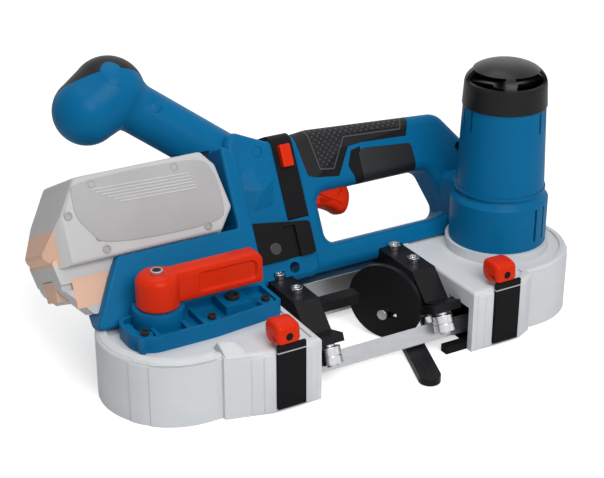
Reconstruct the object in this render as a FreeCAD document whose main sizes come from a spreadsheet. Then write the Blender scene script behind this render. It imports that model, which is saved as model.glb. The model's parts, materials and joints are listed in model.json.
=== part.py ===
"""Compact cordless portable band saw, at its real size in millimetres.

The origin lies on the drive wheel's axis, in the plane that the wheel guards rest on.
X runs from the idler wheel to the drive wheel, Y away from the front of the saw, Z up.
The handle, the front knob and the battery share a mid-plane that leans back by handle_tilt.
"""
import FreeCAD
import Part
import math
import os
import Sketcher
from FreeCAD import Placement, Rotation, Vector

SIZES = {
    # Band and wheels
    "wheel_spacing": 275, "wheel_diameter": 91, "wheel_bottom": 7, "rim_width": 14, "rim_thickness": 4,
    "tyre_thickness": 2.5, "web_thickness": 4, "hub_diameter": 30, "hub_overhang": 1, "web_hole_diameter": 15,
    "web_hole_circle": 57, "band_width": 13, "band_thickness": 0.6, "band_gap": 0.3, "band_twist": 25,
    "tooth_pitch": 2, "tooth_depth": 0.9, "seat_gap": 0.05, "run_gap": 0.3,
    # Wheel guards
    "guard_radius": 53.5, "guard_height": 48, "guard_wall": 3, "guard_rim": 5, "deck_recess": 1.5,
    "guard_edge_round": 2.5, "guard_panel_rise": 0.8, "idler_reach": 80, "idler_strap_near": 42,
    "idler_front": 66.5,
    "drive_reach": 67, "drive_strap_near": 24, "drive_front": 64.5, "step_place": 10, "step_depth": 4.5,
    "band_slot_half": 13, "band_slot_height_over_guard": -14, "rear_slot_half": 4,
    # Bottom covers and their hinges
    "cover_thickness": 2.5, "cover_gap": 0.4, "cover_side_gap": 1.2, "cover_rear": 43.5, "hinge_back": 47.5,
    "hinge_length": 24,
    "hinge_place": 40, "hinge_pin_diameter": 2.4, "hinge_barrel_diameter": 4.4, "hinge_ear": 4,
    "ear_height": 4.2, "cover_nose_length": 18, "cover_nose_width": 7, "cover_nose_height": 6,
    # Latches
    "latch_width": 18, "strap_width": 22, "strap_thickness": 2.6, "strap_foot": 3, "strap_top_over_guard": 4,
    "latch_pivot_back": 9.5, "latch_pivot_height_over_guard": 8, "latch_top_over_guard": 18.6,
    "latch_roll": 7.4, "latch_chamfer": 4,
    "latch_side_chamfer": 3.5, "latch_dimple_diameter": 5.5, "latch_dimple_depth": 2.5,
    "latch_dimple_drop": 9,
    "latch_pin_diameter": 3, "latch_pin_length": 16, "lug_width": 9, "lug_diameter": 8,
    "idler_strap_centre": 53.5, "drive_strap_centre": 40.5, "strap_shift": 2,
    # Beam behind the throat
    "beam_front": 31, "beam_back": 56, "beam_bottom": 4, "beam_top_over_guard": -13, "beam_wall": 4,
    "lug_seat_over_guard": -12, "lug_bottom_over_guard": -24, "lug_front": 6, "arm_lug_width": 18,
    # Guide arms and rollers
    "left_guide": 179, "right_guide": 83.5, "left_arm": 177.5, "right_arm": 77.5, "arm_width": 20,
    "arm_thickness": 13, "arm_rear": 38, "arm_bend": 15, "head_width": 15, "head_thickness": 6,
    "roller_lift": 5.5, "head_lift": 16.3, "head_length": 24, "elbow_drop": 17.5, "elbow_back": 18,
    "stay_length": 52,
    "stay_front": 18, "stay_back": 8, "stay_bottom_over_guard": -11, "stay_top_over_guard": -3,
    "roller_diameter": 16,
    "roller_length": 12, "roller_pin_diameter": 6, "pin_head_diameter": 8.4, "pin_head_height": 1.5,
    "pin_collar_diameter": 9, "roller_groove": 1, "arm_screw_diameter": 5, "arm_screw_head": 9,
    "arm_screw_head_height": 4.5, "arm_screw_pitch": 26, "arm_screw_rear": 25, "arm_screw_length": 16,
    "hex_socket": 2.4, "guide_run": 10,
    # Material stop
    "stop_place_x": 110, "stop_place_y": 14, "stop_diameter": 59, "stop_floor": 0.5, "stop_thickness": 4,
    "stop_travel": 8, "stop_angle": 59.3, "stop_slot_width": 5, "stop_screw_head": 8, "stop_screw_height": 3,
    "stop_screw_drop": 9, "tongue_width": 16, "tongue_thickness": 6, "tongue_tip_x": 117, "tongue_tip_y": 84,
    "tongue_root_x": 100, "tongue_root_y": 34, "ridge_width": 4, "ridge_height": 0.8, "bracket_height": 10,
    "bracket_front": 4, "bracket_rear": 22, "bracket_lug_near": 4, "bracket_lug_far": 16,
    # Tensioner
    "slide_length": 42, "slide_width": 33, "slide_bottom": 26, "slide_top_over_guard": -5, "slide_lead": 24,
    "rail_width": 4, "rail_bottom_over_guard": -18, "rail_length": 56, "axle_diameter": 10,
    "axle_top_over_guard": -12,
    "axle_head": 16, "axle_head_height": 1.5, "idler_bearing_diameter": 24, "idler_bearing_height": 9,
    "cam_back": 10, "cam_pin_diameter": 6, "cam_throw": 2.31, "cam_pin_play": 0.5, "cam_pin_length": 6,
    "cam_shaft_diameter": 12, "spring_count_length": 14, "spring_rod_diameter": 6,
    "spring_wall": 1, "spring_rod_length": 30, "abutment_place": 42, "abutment_length": 9,
    "abutment_width": 20,
    "abutment_bottom": 26, "slot_depth": 7,
    # Tension casting and lever
    "casting_top_over_guard": 10, "casting_boss_diameter": 36, "casting_boss_top_over_guard": 18.6,
    "casting_front": 28,
    "casting_back": 10.4, "casting_left": 28, "casting_right": 84.5, "casting_tip_front": 22,
    "casting_rib": 3,
    "casting_tray_depth": 5, "casting_corner": 18, "casting_round": 5, "casting_pad_length": 20,
    "casting_pad_place": 54,
    "casting_pad_rise": 2, "casting_lug_diameter": 11, "casting_screw_diameter": 6,
    "casting_bolt_diameter": 10,
    "casting_screw_height": 3, "casting_waist": 30,
    "lever_bottom_over_guard": 19, "lever_top_over_guard": 43, "lever_boss_diameter": 30, "lever_reach": 78,
    "lever_thickness": 14,
    "lever_grip_depth": 2.5, "lever_grip_start": 24, "lever_grip_margin": 5, "lever_round": 3,
    "lever_screw_diameter": 9, "lever_screw_height": 2, "cam_key_diameter": 8,
    # Motor and gears
    "collar_top_over_guard": 6, "boss_bottom": 24,
    "bearing_height": 8, "lower_bearing_bottom": 26, "upper_bearing_bottom_over_guard": -2.5,
    "shaft_diameter": 12,
    "shaft_bottom": 5.4, "shaft_top_over_guard": 22, "base_diameter": 74, "base_top_over_guard": 40,
    "barrel_bottom_over_guard": 45,
    "barrel_top_over_guard": 113, "motor_wall": 3,
    "neck_groove": 0.8, "neck_rise": 2, "bead_proud": 0.9, "bead_height": 2.2,
    "cap_shoulder_over_guard": 126, "cap_top_over_guard": 145, "cap_lip": 0.8, "cap_wall": 2.5,
    "cap_window_bottom_over_guard": 131.5, "cap_window_top_over_guard": 139.5, "slot_width": 2.4,
    "slot_height": 16, "slot_drop": 1.5,
    "base_slot_width": 2.6, "base_slot_height": 26, "base_slot_rise": 6,
    "gear_room": 0.56, "gear_lean": 135,
    "output_gear_bottom_over_guard": 9, "output_gear_top_over_guard": 20, "lay_pinion_bottom_over_guard": 8,
    "lay_pinion_top_over_guard": 21,
    "lay_gear_bottom_over_guard": 25, "lay_gear_top_over_guard": 32, "rotor_pinion_bottom_over_guard": 24,
    "rotor_pinion_top_over_guard": 33.5,
    "lay_shaft_bottom_over_guard": -1, "lay_shaft_top_over_guard": 39, "gear_plate_bottom_over_guard": 36,
    "gear_plate_top_over_guard": 40, "rotor_bearing_height": 4,
    "stator_bottom_over_guard": 48, "stator_top_over_guard": 98, "coil_overhang": 3,
    "rotor_bottom_over_guard": 51, "rotor_top_over_guard": 95, "fan_bottom_over_guard": 103,
    "fan_top_over_guard": 109, "fan_plate": 1.5, "fan_blade": 1.4,
    "top_bearing_bottom_over_guard": 112, "spider_arm": 5, "spider_top_over_guard": 126,
    "bolt_head_diameter": 16, "bolt_head_height": 2,
    # Handle, in its own leaning plane
    "handle_tilt": 27, "handle_back": 55, "handle_lift_over_guard": 12, "handle_length": 200,
    "handle_height": 100,
    "grip_half": 17, "grip_round": 8, "neck_half": 24, "neck_round": 8, "foot_half": 36, "foot_round": 5,
    "corner_round": 16, "opening_round": 9, "knob_radius": 24.5, "knob_front_radius": 26.8,
    "arm_radius": 18.5,
    "saddle_left": 20, "saddle_right": 22, "saddle_front": 18, "saddle_back": 58,
    "saddle_bottom_over_guard": 6.4,
    "saddle_top_over_guard": 42, "saddle_round": 6,
    "shell_gap": 0.3, "frame_clear": 0.4, "skirt_back": 1, "pad_depth": 3, "band_pad_depth": 1.5,
    "band_pad_proud": 1.2, "handle_screw_diameter": 3, "handle_screw_head": 7, "handle_screw_head_height": 3,
    "handle_screw_seat": 6, "lower_screw_inset": 13.5, "handle_screw_reach": 10, "screw_clear": 0.6,
    "cap_pad_depth": 2.5,
    "block_half": 27, "block_depth": 6, "light_diameter": 9, "light_height": 2, "block_groove": 10,
    "block_groove_depth": 2.5,
    # Trigger, lock button and what they work
    "trigger_half": 11, "trigger_travel": 6, "trigger_play": 0.6, "trigger_round": 2, "plunger_diameter": 5,
    "button_travel": 3, "button_proud": 4.5, "button_depth": 6, "button_width": 9, "button_height": 17,
    "button_play": 0.3, "switch_half": 9, "board_thickness": 1.6, "board_half": 14, "board_play": 0.3,
    "terminal_half": 15, "terminal_depth": 7, "blade_length": 14, "blade_width": 1, "blade_pitch": 9,
    "blade_low": 2, "blade_high": 12,
    # Battery
    "battery_rise": 19.6, "battery_top": 78, "battery_half": 36, "battery_round": 7,
    "tower_bottom": 16, "tower_half": 28, "tower_floor": 6, "tower_keel": 7, "bay_gap": 0.5,
    "rail_depth": 3, "rail_low": 4, "rail_high": 8, "battery_wall": 2.6, "cell_diameter": 18.4,
    "cell_length": 65, "cell_gap": 0.2, "cell_floor": 26, "release_half": 12, "release_bottom": 3,
    "release_top": 12,
    "release_depth": 12, "release_travel": 3, "release_proud": 3, "panel_depth": 1, "panel_margin": 12,
    "bumper_depth": 2.5,
    "overrun": 2,
}

doc = FreeCAD.newDocument("band_saw")
sheet = doc.addObject("Spreadsheet::Sheet", "Sizes")
for row, (alias, number) in enumerate(SIZES.items(), 1):
    sheet.set("A%d" % row, alias)
    sheet.set("B%d" % row, str(number))
    sheet.setAlias("B%d" % row, alias)
doc.recompute()


class Size(float):
    """A length read from the sheet that keeps the expression it came from."""

    def __new__(cls, value, text):
        made = super().__new__(cls, value)
        made.text = text
        return made

    def __add__(self, other):
        return Size(float(self) + float(other), "(%s + %s)" % (self.text, text_of(other)))

    def __radd__(self, other):
        return Size(float(other) + float(self), "(%s + %s)" % (text_of(other), self.text))

    def __sub__(self, other):
        return Size(float(self) - float(other), "(%s - %s)" % (self.text, text_of(other)))

    def __rsub__(self, other):
        return Size(float(other) - float(self), "(%s - %s)" % (text_of(other), self.text))

    def __mul__(self, other):
        return Size(float(self) * float(other), "(%s * %s)" % (self.text, text_of(other)))

    def __rmul__(self, other):
        return Size(float(other) * float(self), "(%s * %s)" % (text_of(other), self.text))

    def __truediv__(self, other):
        return Size(float(self) / float(other), "(%s / %s)" % (self.text, text_of(other)))

    def __neg__(self):
        return Size(-float(self), "(0 - %s)" % self.text)


def text_of(value):
    """The expression of a size, or a plain number as text."""
    return value.text if isinstance(value, Size) else repr(float(value))


class Named:
    """Every size of the sheet as an attribute."""


s = Named()
for alias in SIZES:
    setattr(s, alias, Size(sheet.get(alias), "Sizes." + alias))
OVER_GUARD = "_over_guard"
for alias in SIZES:
    if alias.endswith(OVER_GUARD):
        setattr(s, alias[:-len(OVER_GUARD)], s.guard_height + getattr(s, alias))

BASE_SHARES = {
    "barrel_diameter": 0.902703, "barrel_top_diameter": 0.832432, "collar_diameter": 1.067568,
    "boss_diameter": 0.486486, "bearing_diameter": 0.378378, "lay_shaft_diameter": 0.067568,
    "rotor_shaft_diameter": 0.067568, "rotor_bearing_diameter": 0.175676, "stator_diameter": 0.756757,
    "stator_bore": 0.421622, "coil_diameter": 0.621622, "rotor_diameter": 0.405405,
    "fan_diameter": 0.675676, "fan_hub_diameter": 0.216216, "spider_diameter": 0.243243,
    "cap_crown_diameter": 0.432432,
}
for alias, share in BASE_SHARES.items():
    setattr(s, alias, s.base_diameter * share)

NODES = []
UP = Vector(0, 0, 1)
TURNS = {"x": Rotation(Vector(0, 1, 0), 90), "y": Rotation(Vector(1, 0, 0), -90), "z": Rotation()}
FULL_TURN = 360
HALF_TURN = 180
QUARTER_TURN = 90
NEAR = 1e-5


# How pieces are drawn

def bind(obj, path, value):
    """Ties one property of an object to the sheet."""
    if isinstance(value, Size):
        obj.setExpression(path, value.text)


def place(obj, at, turn=None):
    """Puts an object at a point whose coordinates follow the sheet."""
    obj.Placement = Placement(Vector(*at), turn or Rotation())
    for name, value in zip("xyz", at):
        bind(obj, "Placement.Base." + name, value)
    return obj


def node(name, obj):
    """Keeps an object as a finished sub-part under its own name."""
    obj.Label = name
    NODES.append(obj)
    return obj


def block(x, y, z):
    """A box between two x, two y and two z values."""
    obj = doc.addObject("Part::Box", "Block")
    for prop, (low, high) in zip(("Length", "Width", "Height"), (x, y, z)):
        bind(obj, prop, high - low)
    return place(obj, (x[0], y[0], z[0]))


def rod(at, diameter, length, along="z"):
    """A cylinder that starts at a point and runs along an axis."""
    obj = doc.addObject("Part::Cylinder", "Rod")
    bind(obj, "Radius", diameter / 2)
    bind(obj, "Height", length)
    return place(obj, at, TURNS[along])


def fuse(*pieces):
    obj = doc.addObject("Part::MultiFuse", "Joined")
    obj.Shapes = list(pieces)
    return obj


def cut(base, *tools):
    obj = doc.addObject("Part::Cut", "Cut")
    obj.Base = base
    obj.Tool = tools[0] if len(tools) == 1 else fuse(*tools)
    return obj


def common(*pieces):
    obj = doc.addObject("Part::MultiCommon", "Shared")
    obj.Shapes = list(pieces)
    return obj


def group(*pieces):
    """Separate like solids under one name."""
    obj = doc.addObject("Part::Compound", "Group")
    obj.Links = list(pieces)
    return obj


def formed(shape, frame=None):
    """A moulded or cast form that is built directly from the sheet's values."""
    obj = doc.addObject("Part::Feature", "Formed")
    obj.Shape = shape
    if frame:
        obj.Placement = frame.multiply(shape.Placement)
    return obj


def drawn(body, plane, points):
    """A closed sketch on one of a body's own planes, each corner held to the sheet."""
    sketch = body.newObject("Sketcher::SketchObject", "Outline")
    sketch.AttachmentSupport = ([f for f in body.Origin.OriginFeatures if f.Role == plane][0], [""])
    sketch.MapMode = "FlatFace"
    count = len(points)
    ends = [Vector(x, y, 0) for x, y in points]
    for i in range(count):
        sketch.addGeometry(Part.LineSegment(ends[i], ends[(i + 1) % count]))
    for i in range(count):
        sketch.addConstraint(Sketcher.Constraint("Coincident", i, 2, (i + 1) % count, 1))
    for i, point in enumerate(points):
        for kind, axis, value in zip(("DistanceX", "DistanceY"), (-2, -1), point):
            if isinstance(value, Size) and abs(value) > NEAR:
                held = sketch.addConstraint(Sketcher.Constraint(kind, -1, 1, i, 1, float(value)))
                sketch.setExpression("Constraints[%d]" % held, value.text)
            else:
                sketch.addConstraint(Sketcher.Constraint("PointOnObject", i, 1, axis))
    return sketch


def turned(profile, at=(0, 0, 0)):
    """A body turned about its own upright axis from a profile of radii and heights."""
    body = doc.addObject("PartDesign::Body", "Turned")
    sketch = drawn(body, "XZ_Plane", profile)
    feature = body.newObject("PartDesign::Revolution", "Revolution")
    feature.Profile = sketch
    feature.ReferenceAxis = (sketch, ["V_Axis"])
    feature.Angle = FULL_TURN
    return place(body, at)


def padded(plane, outline, length, at=(0, 0, 0), frame=None):
    """A body padded from an outline on one of its planes."""
    body = doc.addObject("PartDesign::Body", "Padded")
    sketch = drawn(body, plane, outline)
    feature = body.newObject("PartDesign::Pad", "Pad")
    feature.Profile = sketch
    bind(feature, "Length", length)
    if frame:
        body.Placement = frame
        return body
    return place(body, at)


def rounded_wire(points, radii):
    """A closed wire through corner points, each corner rounded by its own radius."""
    count = len(points)
    runs = []
    for i in range(count):
        corner = Vector(*points[i], 0)
        before = (Vector(*points[i - 1], 0) - corner).normalize()
        after = (Vector(*points[(i + 1) % count], 0) - corner).normalize()
        half = before.getAngle(after) / 2
        reach = radii[i] / math.tan(half)
        middle = (before + after).normalize()
        top = corner + middle * (radii[i] / math.sin(half) - radii[i])
        runs.append((corner + before * reach, top, corner + after * reach))
    edges = []
    for i, (start, top, end) in enumerate(runs):
        edges.append(Part.Arc(start, top, end).toShape())
        edges.append(Part.LineSegment(end, runs[(i + 1) % count][0]).toShape())
    return Part.Wire(edges)


def slab(points, radii, low, high):
    """A flat form between two depths, from an outline with rounded corners."""
    face = Part.Face(rounded_wire(points, radii))
    solid = face.extrude(Vector(0, 0, high - low))
    return solid.translated(Vector(0, 0, low))


def soften(solid, radius, *levels):
    """Rounds the edges that lie at the given heights."""
    edges = []
    for edge in solid.Edges:
        box = edge.BoundBox
        if any(abs(box.ZMin - level) < NEAR and abs(box.ZMax - level) < NEAR for level in levels):
            edges.append(edge)
    return solid.makeFillet(radius, edges)


def brick(x, y, z):
    """A plain box shape between two x, two y and two z values."""
    return Part.makeBox(x[1] - x[0], y[1] - y[0], z[1] - z[0], Vector(x[0], y[0], z[0]))


# Places that many pieces share

wheel_radius = s.wheel_diameter / 2
track = wheel_radius + s.band_gap + s.band_thickness / 2
band_height = s.wheel_bottom + s.rim_width / 2
idler_x = -s.wheel_spacing
deck = s.guard_height - s.deck_recess
roof = deck - s.guard_wall
twist = math.radians(s.band_twist)
ACROSS = Vector(0, -math.cos(twist), math.sin(twist))
DOWN = Vector(0, -math.sin(twist), -math.cos(twist))


# Band: a toothed steel loop, twisted between the guide rollers

def band_end(x, turn):
    """The band's cross-section at one x, turned about the band's middle line."""
    half_thick, half_wide = s.band_thickness / 2, s.band_width / 2
    signs = [(-1, -1), (1, -1), (1, 1), (-1, 1), (-1, -1)]
    side = Vector(0, math.cos(turn), -math.sin(turn))
    rise = Vector(0, math.sin(turn), math.cos(turn))
    middle = Vector(x, -track, band_height)
    return Part.makePolygon([middle + side * (a * half_thick) + rise * (b * half_wide) for a, b in signs])


def band_bend(x, start_angle):
    """Half a turn of band round one wheel."""
    base = Vector(x, 0, band_height - s.band_width / 2)
    outer = Part.makeCylinder(track + s.band_thickness / 2, s.band_width, base, UP, HALF_TURN)
    inner = Part.makeCylinder(track - s.band_thickness / 2, s.band_width, base, UP, HALF_TURN)
    return outer.cut(inner).rotated(Vector(x, 0, 0), UP, start_angle)


toothed_left = -s.left_guide - s.guide_run
toothed_right = -s.right_guide + s.guide_run
tooth_count = round((toothed_right - toothed_left) / s.tooth_pitch)
pitch = (toothed_right - toothed_left) / tooth_count
edge_low, edge_high = -s.band_width / 2, s.band_width / 2
GULLET_SHARE = 0.4
tooth_line = [Vector(toothed_right, 0, edge_high), Vector(toothed_left, 0, edge_high)]
for i in range(tooth_count):
    tooth_line.append(Vector(toothed_left + pitch * i, 0, edge_low))
    tooth_line.append(Vector(toothed_left + pitch * (i + GULLET_SHARE), 0, edge_low + s.tooth_depth))
tooth_line.append(Vector(toothed_right, 0, edge_low))
toothed = Part.Face(Part.makePolygon(tooth_line + tooth_line[:1])).extrude(Vector(0, s.band_thickness, 0))
toothed.translate(Vector(0, -s.band_thickness / 2, 0))
toothed.rotate(Vector(), Vector(1, 0, 0), -s.band_twist)
toothed.translate(Vector(0, -track, band_height))
lead_in = Part.makeLoft([band_end(idler_x, 0), band_end(toothed_left, twist)], True, True)
lead_out = Part.makeLoft([band_end(toothed_right, twist), band_end(0, 0)], True, True)
rear_span = brick((idler_x, 0), (track - s.band_thickness / 2, track + s.band_thickness / 2),
                  (band_height - s.band_width / 2, band_height + s.band_width / 2))
loop = toothed.multiFuse([lead_in, lead_out, rear_span, band_bend(idler_x, QUARTER_TURN),
                          band_bend(0, -QUARTER_TURN)])
node("band", formed(loop.removeSplitter()))


# Wheels: cast discs with a rubber tyre, five lightening holes each

def wheel(x, bore):
    """A wheel's disc with hub, web and rim."""
    low, high = s.wheel_bottom, s.wheel_bottom + s.rim_width
    rim_out = wheel_radius - s.tyre_thickness
    rim_in = rim_out - s.rim_thickness
    hub = s.hub_diameter / 2
    web_low = band_height - s.web_thickness / 2
    web_high = band_height + s.web_thickness / 2
    hub_low, hub_high = low - s.hub_overhang, high + s.hub_overhang
    disc = turned([(bore, hub_low), (hub, hub_low), (hub, web_low), (rim_in, web_low), (rim_in, low),
                   (rim_out, low),
                   (rim_out, high), (rim_in, high), (rim_in, web_high), (hub, web_high), (hub, hub_high),
                   (bore, hub_high)], (x, 0, 0))
    holes = []
    for i in range(WEB_HOLES):
        angle = 2 * math.pi * i / WEB_HOLES
        out = s.web_hole_circle / 2
        at = (x + out * math.cos(angle), out * math.sin(angle), low)
        holes.append(rod(at, s.web_hole_diameter, s.rim_width))
    return cut(disc, *holes)


def tyre(x):
    low, high = s.wheel_bottom, s.wheel_bottom + s.rim_width
    inner = wheel_radius - s.tyre_thickness
    return turned([(inner, low), (wheel_radius, low), (wheel_radius, high), (inner, high)], (x, 0, 0))


WEB_HOLES = 5
node("drive_wheel", wheel(0, s.shaft_diameter / 2))
node("drive_tyre", tyre(0))
node("idler_wheel", wheel(idler_x, s.idler_bearing_diameter / 2))
node("idler_tyre", tyre(idler_x))
bearing_low = band_height - s.idler_bearing_height / 2
bearing_high = band_height + s.idler_bearing_height / 2
axle_bore = s.axle_diameter / 2 + s.seat_gap
bearing_out = s.idler_bearing_diameter / 2
node("idler_bearing", turned([(axle_bore, bearing_low), (bearing_out, bearing_low),
                              (bearing_out, bearing_high),
                              (axle_bore, bearing_high)], (idler_x, 0, 0)))


# Wheel guards: cast shells, open underneath, with a recessed deck inside a raised rim

class Plan:
    """Where a guard's outline lies: its wheel, the way to the throat, and its front."""

    def __init__(self, axis, side, reach, near, front, strap):
        self.axis, self.side, self.reach = axis, side, reach
        self.near, self.front, self.strap = near, front, strap

    def x(self, along):
        return self.axis + along * self.side

    def span(self, first, last):
        """Two x values in rising order from two distances towards the throat."""
        ends = (self.x(first), self.x(last))
        return ends if self.side > 0 else ends[::-1]


IDLER = Plan(idler_x, 1, s.idler_reach, s.idler_strap_near, s.idler_front, s.idler_strap_centre)
DRIVE = Plan(Size(0, "0"), -1, s.drive_reach, s.drive_strap_near, s.drive_front, s.drive_strap_centre)


def guard_prism(plan, inset, low, high):
    """The guard's outline moved inwards by inset, as a solid between two heights."""
    r = s.guard_radius - inset
    front = plan.front - inset
    step_y = s.guard_radius + s.step_depth - inset
    corners = [(0, -r), (s.step_place + inset, -r), (s.step_place + inset, -step_y), (plan.near, -front),
               (plan.reach - inset, -front), (plan.reach - inset, r), (0, r)]
    points = [Vector(plan.x(x), y, low) for x, y in corners]
    edges = [Part.LineSegment(a, b).toShape() for a, b in zip(points, points[1:])]
    edges.append(Part.Arc(points[-1], Vector(plan.x(-r), 0, low), points[0]).toShape())
    return Part.Face(Part.Wire(edges)).extrude(Vector(0, 0, high - low))


PANEL_TURNS = (58, 42)


def guard_panel(plan, turn, rise):
    """A raised panel on the round wall that ends at the step in the front wall."""
    r, high = s.guard_radius, s.guard_height - s.guard_edge_round
    middle = Vector(plan.axis, 0, 0)
    panel = Part.makeCylinder(r + rise, high, middle, UP, turn)
    panel = panel.cut(Part.makeCylinder(r - s.guard_wall / 2, high, middle, UP, turn))
    panel.rotate(middle, UP, -QUARTER_TURN - (turn if plan.side > 0 else 0))
    return panel.fuse(brick(plan.span(0, s.step_place + rise), (-r - rise, -r + s.guard_wall / 2), (0, high)))


def guard_shell(plan):
    """One guard's walls, deck, latch lug, band slots and hinge ears."""
    shell = soften(guard_prism(plan, 0, 0, s.guard_height), s.guard_edge_round, s.guard_height)
    for number, turn in enumerate(PANEL_TURNS, 1):
        shell = shell.fuse(guard_panel(plan, turn, s.guard_panel_rise * number))
    shell = shell.cut(guard_prism(plan, s.guard_wall, -s.overrun, roof))
    shell = shell.cut(guard_prism(plan, s.guard_rim, deck, s.guard_height + s.overrun))
    wall = plan.span(plan.reach - s.guard_wall - s.overrun, plan.reach + s.overrun)
    front_slot = brick(wall, (-track - s.band_slot_half, -track + s.band_slot_half),
                       (-s.overrun, s.band_slot_height))
    rear_slot = brick(wall, (track - s.rear_slot_half, track + s.rear_slot_half),
                      (-s.overrun, s.band_slot_height))
    shell = shell.cut(front_slot.fuse(rear_slot))
    pivot_y = -plan.front + s.latch_pivot_back
    lug_x = (plan.x(plan.strap) - s.lug_width / 2, plan.x(plan.strap) + s.lug_width / 2)
    half = s.lug_diameter / 2
    lug = brick(lug_x, (pivot_y - half, pivot_y + half), (roof, s.latch_pivot_height))
    along_x = Vector(1, 0, 0)
    start = Vector(lug_x[0], pivot_y, s.latch_pivot_height)
    lug = lug.fuse(Part.makeCylinder(half, s.lug_width, start, along_x))
    lug = lug.cut(Part.makeCylinder(s.latch_pin_diameter / 2, s.lug_width, start, along_x))
    shell = shell.fuse(lug)
    barrel_half = s.hinge_length / 2
    barrel_z = s.hinge_barrel_diameter / 2
    for first, last in ((-barrel_half - s.hinge_ear, -barrel_half), (barrel_half, barrel_half + s.hinge_ear)):
        gap = s.cover_gap if first > 0 else -s.cover_gap
        ear_x = plan.span(s.hinge_place + first + gap, s.hinge_place + last + gap)
        ear = brick(ear_x, (s.hinge_back - barrel_z, s.guard_radius - s.guard_wall / 2),
                    (s.cover_gap, s.ear_height))
        hole = Part.makeCylinder(s.hinge_pin_diameter / 2, s.hinge_ear,
                                 Vector(ear_x[0], s.hinge_back, barrel_z), along_x)
        shell = shell.fuse(ear.cut(hole))
    return shell


idler_shell = guard_shell(IDLER)
cam_x = idler_x - s.cam_back
idler_shell = idler_shell.cut(Part.makeCylinder(s.cam_shaft_diameter / 2 + s.seat_gap, s.guard_height,
                                                Vector(cam_x, 0, roof - s.overrun)))
rail_x = (idler_x - s.rail_length / 2, idler_x + s.rail_length / 2)
rail_near = s.slide_width / 2 + s.run_gap
for side_y in ((-rail_near - s.rail_width, -rail_near), (rail_near, rail_near + s.rail_width)):
    idler_shell = idler_shell.fuse(brick(rail_x, side_y, (s.rail_bottom, roof)))
abutment_x = (idler_x + s.abutment_place, idler_x + s.abutment_place + s.abutment_length)
abutment = brick(abutment_x, (-s.abutment_width / 2, s.abutment_width / 2), (s.abutment_bottom, roof))
rod_height = (s.slide_bottom + s.slide_top) / 2
guide_hole = Part.makeCylinder(s.spring_rod_diameter / 2 + s.seat_gap, s.abutment_length,
                               Vector(abutment_x[0], 0, rod_height), Vector(1, 0, 0))
idler_shell = idler_shell.fuse(abutment.cut(guide_hole))
node("idler_guard", formed(idler_shell.removeSplitter()))

drive_shell = guard_shell(DRIVE)
drive_shell = drive_shell.fuse(Part.makeCylinder(s.collar_diameter / 2, s.collar_top - roof,
                                                 Vector(0, 0, roof)))
drive_shell = drive_shell.fuse(Part.makeCylinder(s.boss_diameter / 2, roof - s.boss_bottom,
                                                 Vector(0, 0, s.boss_bottom)))
bearing_seat = s.bearing_diameter / 2
drive_shell = drive_shell.cut(Part.makeCylinder(s.shaft_diameter / 2 + s.run_gap, s.collar_top, Vector()))
drive_shell = drive_shell.cut(Part.makeCylinder(bearing_seat, s.lower_bearing_bottom + s.bearing_height))
drive_shell = drive_shell.cut(Part.makeCylinder(bearing_seat, s.collar_top,
                                                Vector(0, 0, s.upper_bearing_bottom)))
BIG_TEETH = 37
SMALL_TEETH = 8
ADDENDUM_SHARE = 0.8
DEDENDUM_SHARE = 1.2
pair_share = (BIG_TEETH + SMALL_TEETH) / 2
gear_module = (s.base_diameter / 2 - s.motor_wall - s.gear_room) / (pair_share + BIG_TEETH / 2 + ADDENDUM_SHARE)
lean = math.radians(s.gear_lean)
lay_x = gear_module * pair_share * math.cos(lean)
lay_y = gear_module * pair_share * math.sin(lean)
lay_hole = Part.makeCylinder(s.lay_shaft_diameter / 2 + s.seat_gap, s.collar_top,
                             Vector(lay_x, lay_y, s.lay_shaft_bottom))
node("drive_guard", formed(drive_shell.cut(lay_hole).removeSplitter()))


# Beam behind the throat: it joins the guards, covers the returning band and carries the guide arms

beam_x = (IDLER.x(s.idler_reach), DRIVE.x(s.drive_reach))
beam = block(beam_x, (s.beam_front, s.beam_back), (s.beam_bottom, s.beam_top))
beam_channel = block((beam_x[0] - s.overrun, beam_x[1] + s.overrun),
                     (s.beam_front + s.beam_wall, s.beam_back - s.beam_wall),
                     (s.beam_bottom - s.overrun, s.beam_top - s.beam_wall))
lugs = []
for arm_x in (-s.left_arm, -s.right_arm):
    lugs.append(block((arm_x - s.arm_lug_width / 2, arm_x + s.arm_lug_width / 2),
                      (-s.lug_front, s.beam_front + s.beam_wall),
                      (s.lug_bottom, s.lug_seat)))
screw_y = (s.arm_screw_rear, s.arm_screw_rear - s.arm_screw_pitch)
arm_top = s.lug_seat + s.arm_thickness
screw_holes = []
for arm_x in (-s.left_arm, -s.right_arm):
    for y in screw_y:
        screw_holes.append(rod((arm_x, y, arm_top - s.arm_screw_length), s.arm_screw_diameter,
                               s.arm_screw_length))
node("rear_beam", cut(fuse(cut(beam, beam_channel), *lugs), *screw_holes))


# Guide arms: black castings that bend down to the rollers on both faces of the band

def head_point(across, down):
    """A place on the roller head, measured across the band and along its width."""
    y = -track + across * ACROSS.y + down * DOWN.y
    z = band_height + across * ACROSS.z + down * DOWN.z
    return y, z


roller_out = s.band_thickness / 2 + s.run_gap + s.roller_diameter / 2
head_top = -s.head_lift - s.head_thickness / 2
head_bottom = -s.head_lift + s.head_thickness / 2
head_half = s.head_length / 2
arm_profile = [(s.arm_rear, s.lug_seat), (s.arm_rear, arm_top), (-s.arm_bend, arm_top),
               (-s.arm_bend - s.elbow_back, arm_top - s.elbow_drop), head_point(head_half, head_top),
               head_point(head_half, head_bottom), head_point(-head_half, head_bottom),
               head_point(-head_half, head_top), (-s.arm_bend, s.lug_seat)]


def pin_shape(guide_x, across, diameter, low, high):
    """A round bar along the width of the band, beside one face of it."""
    y, z = head_point(across, low)
    return Part.makeCylinder(diameter / 2, high - low, Vector(guide_x, y, z), DOWN)


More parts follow.
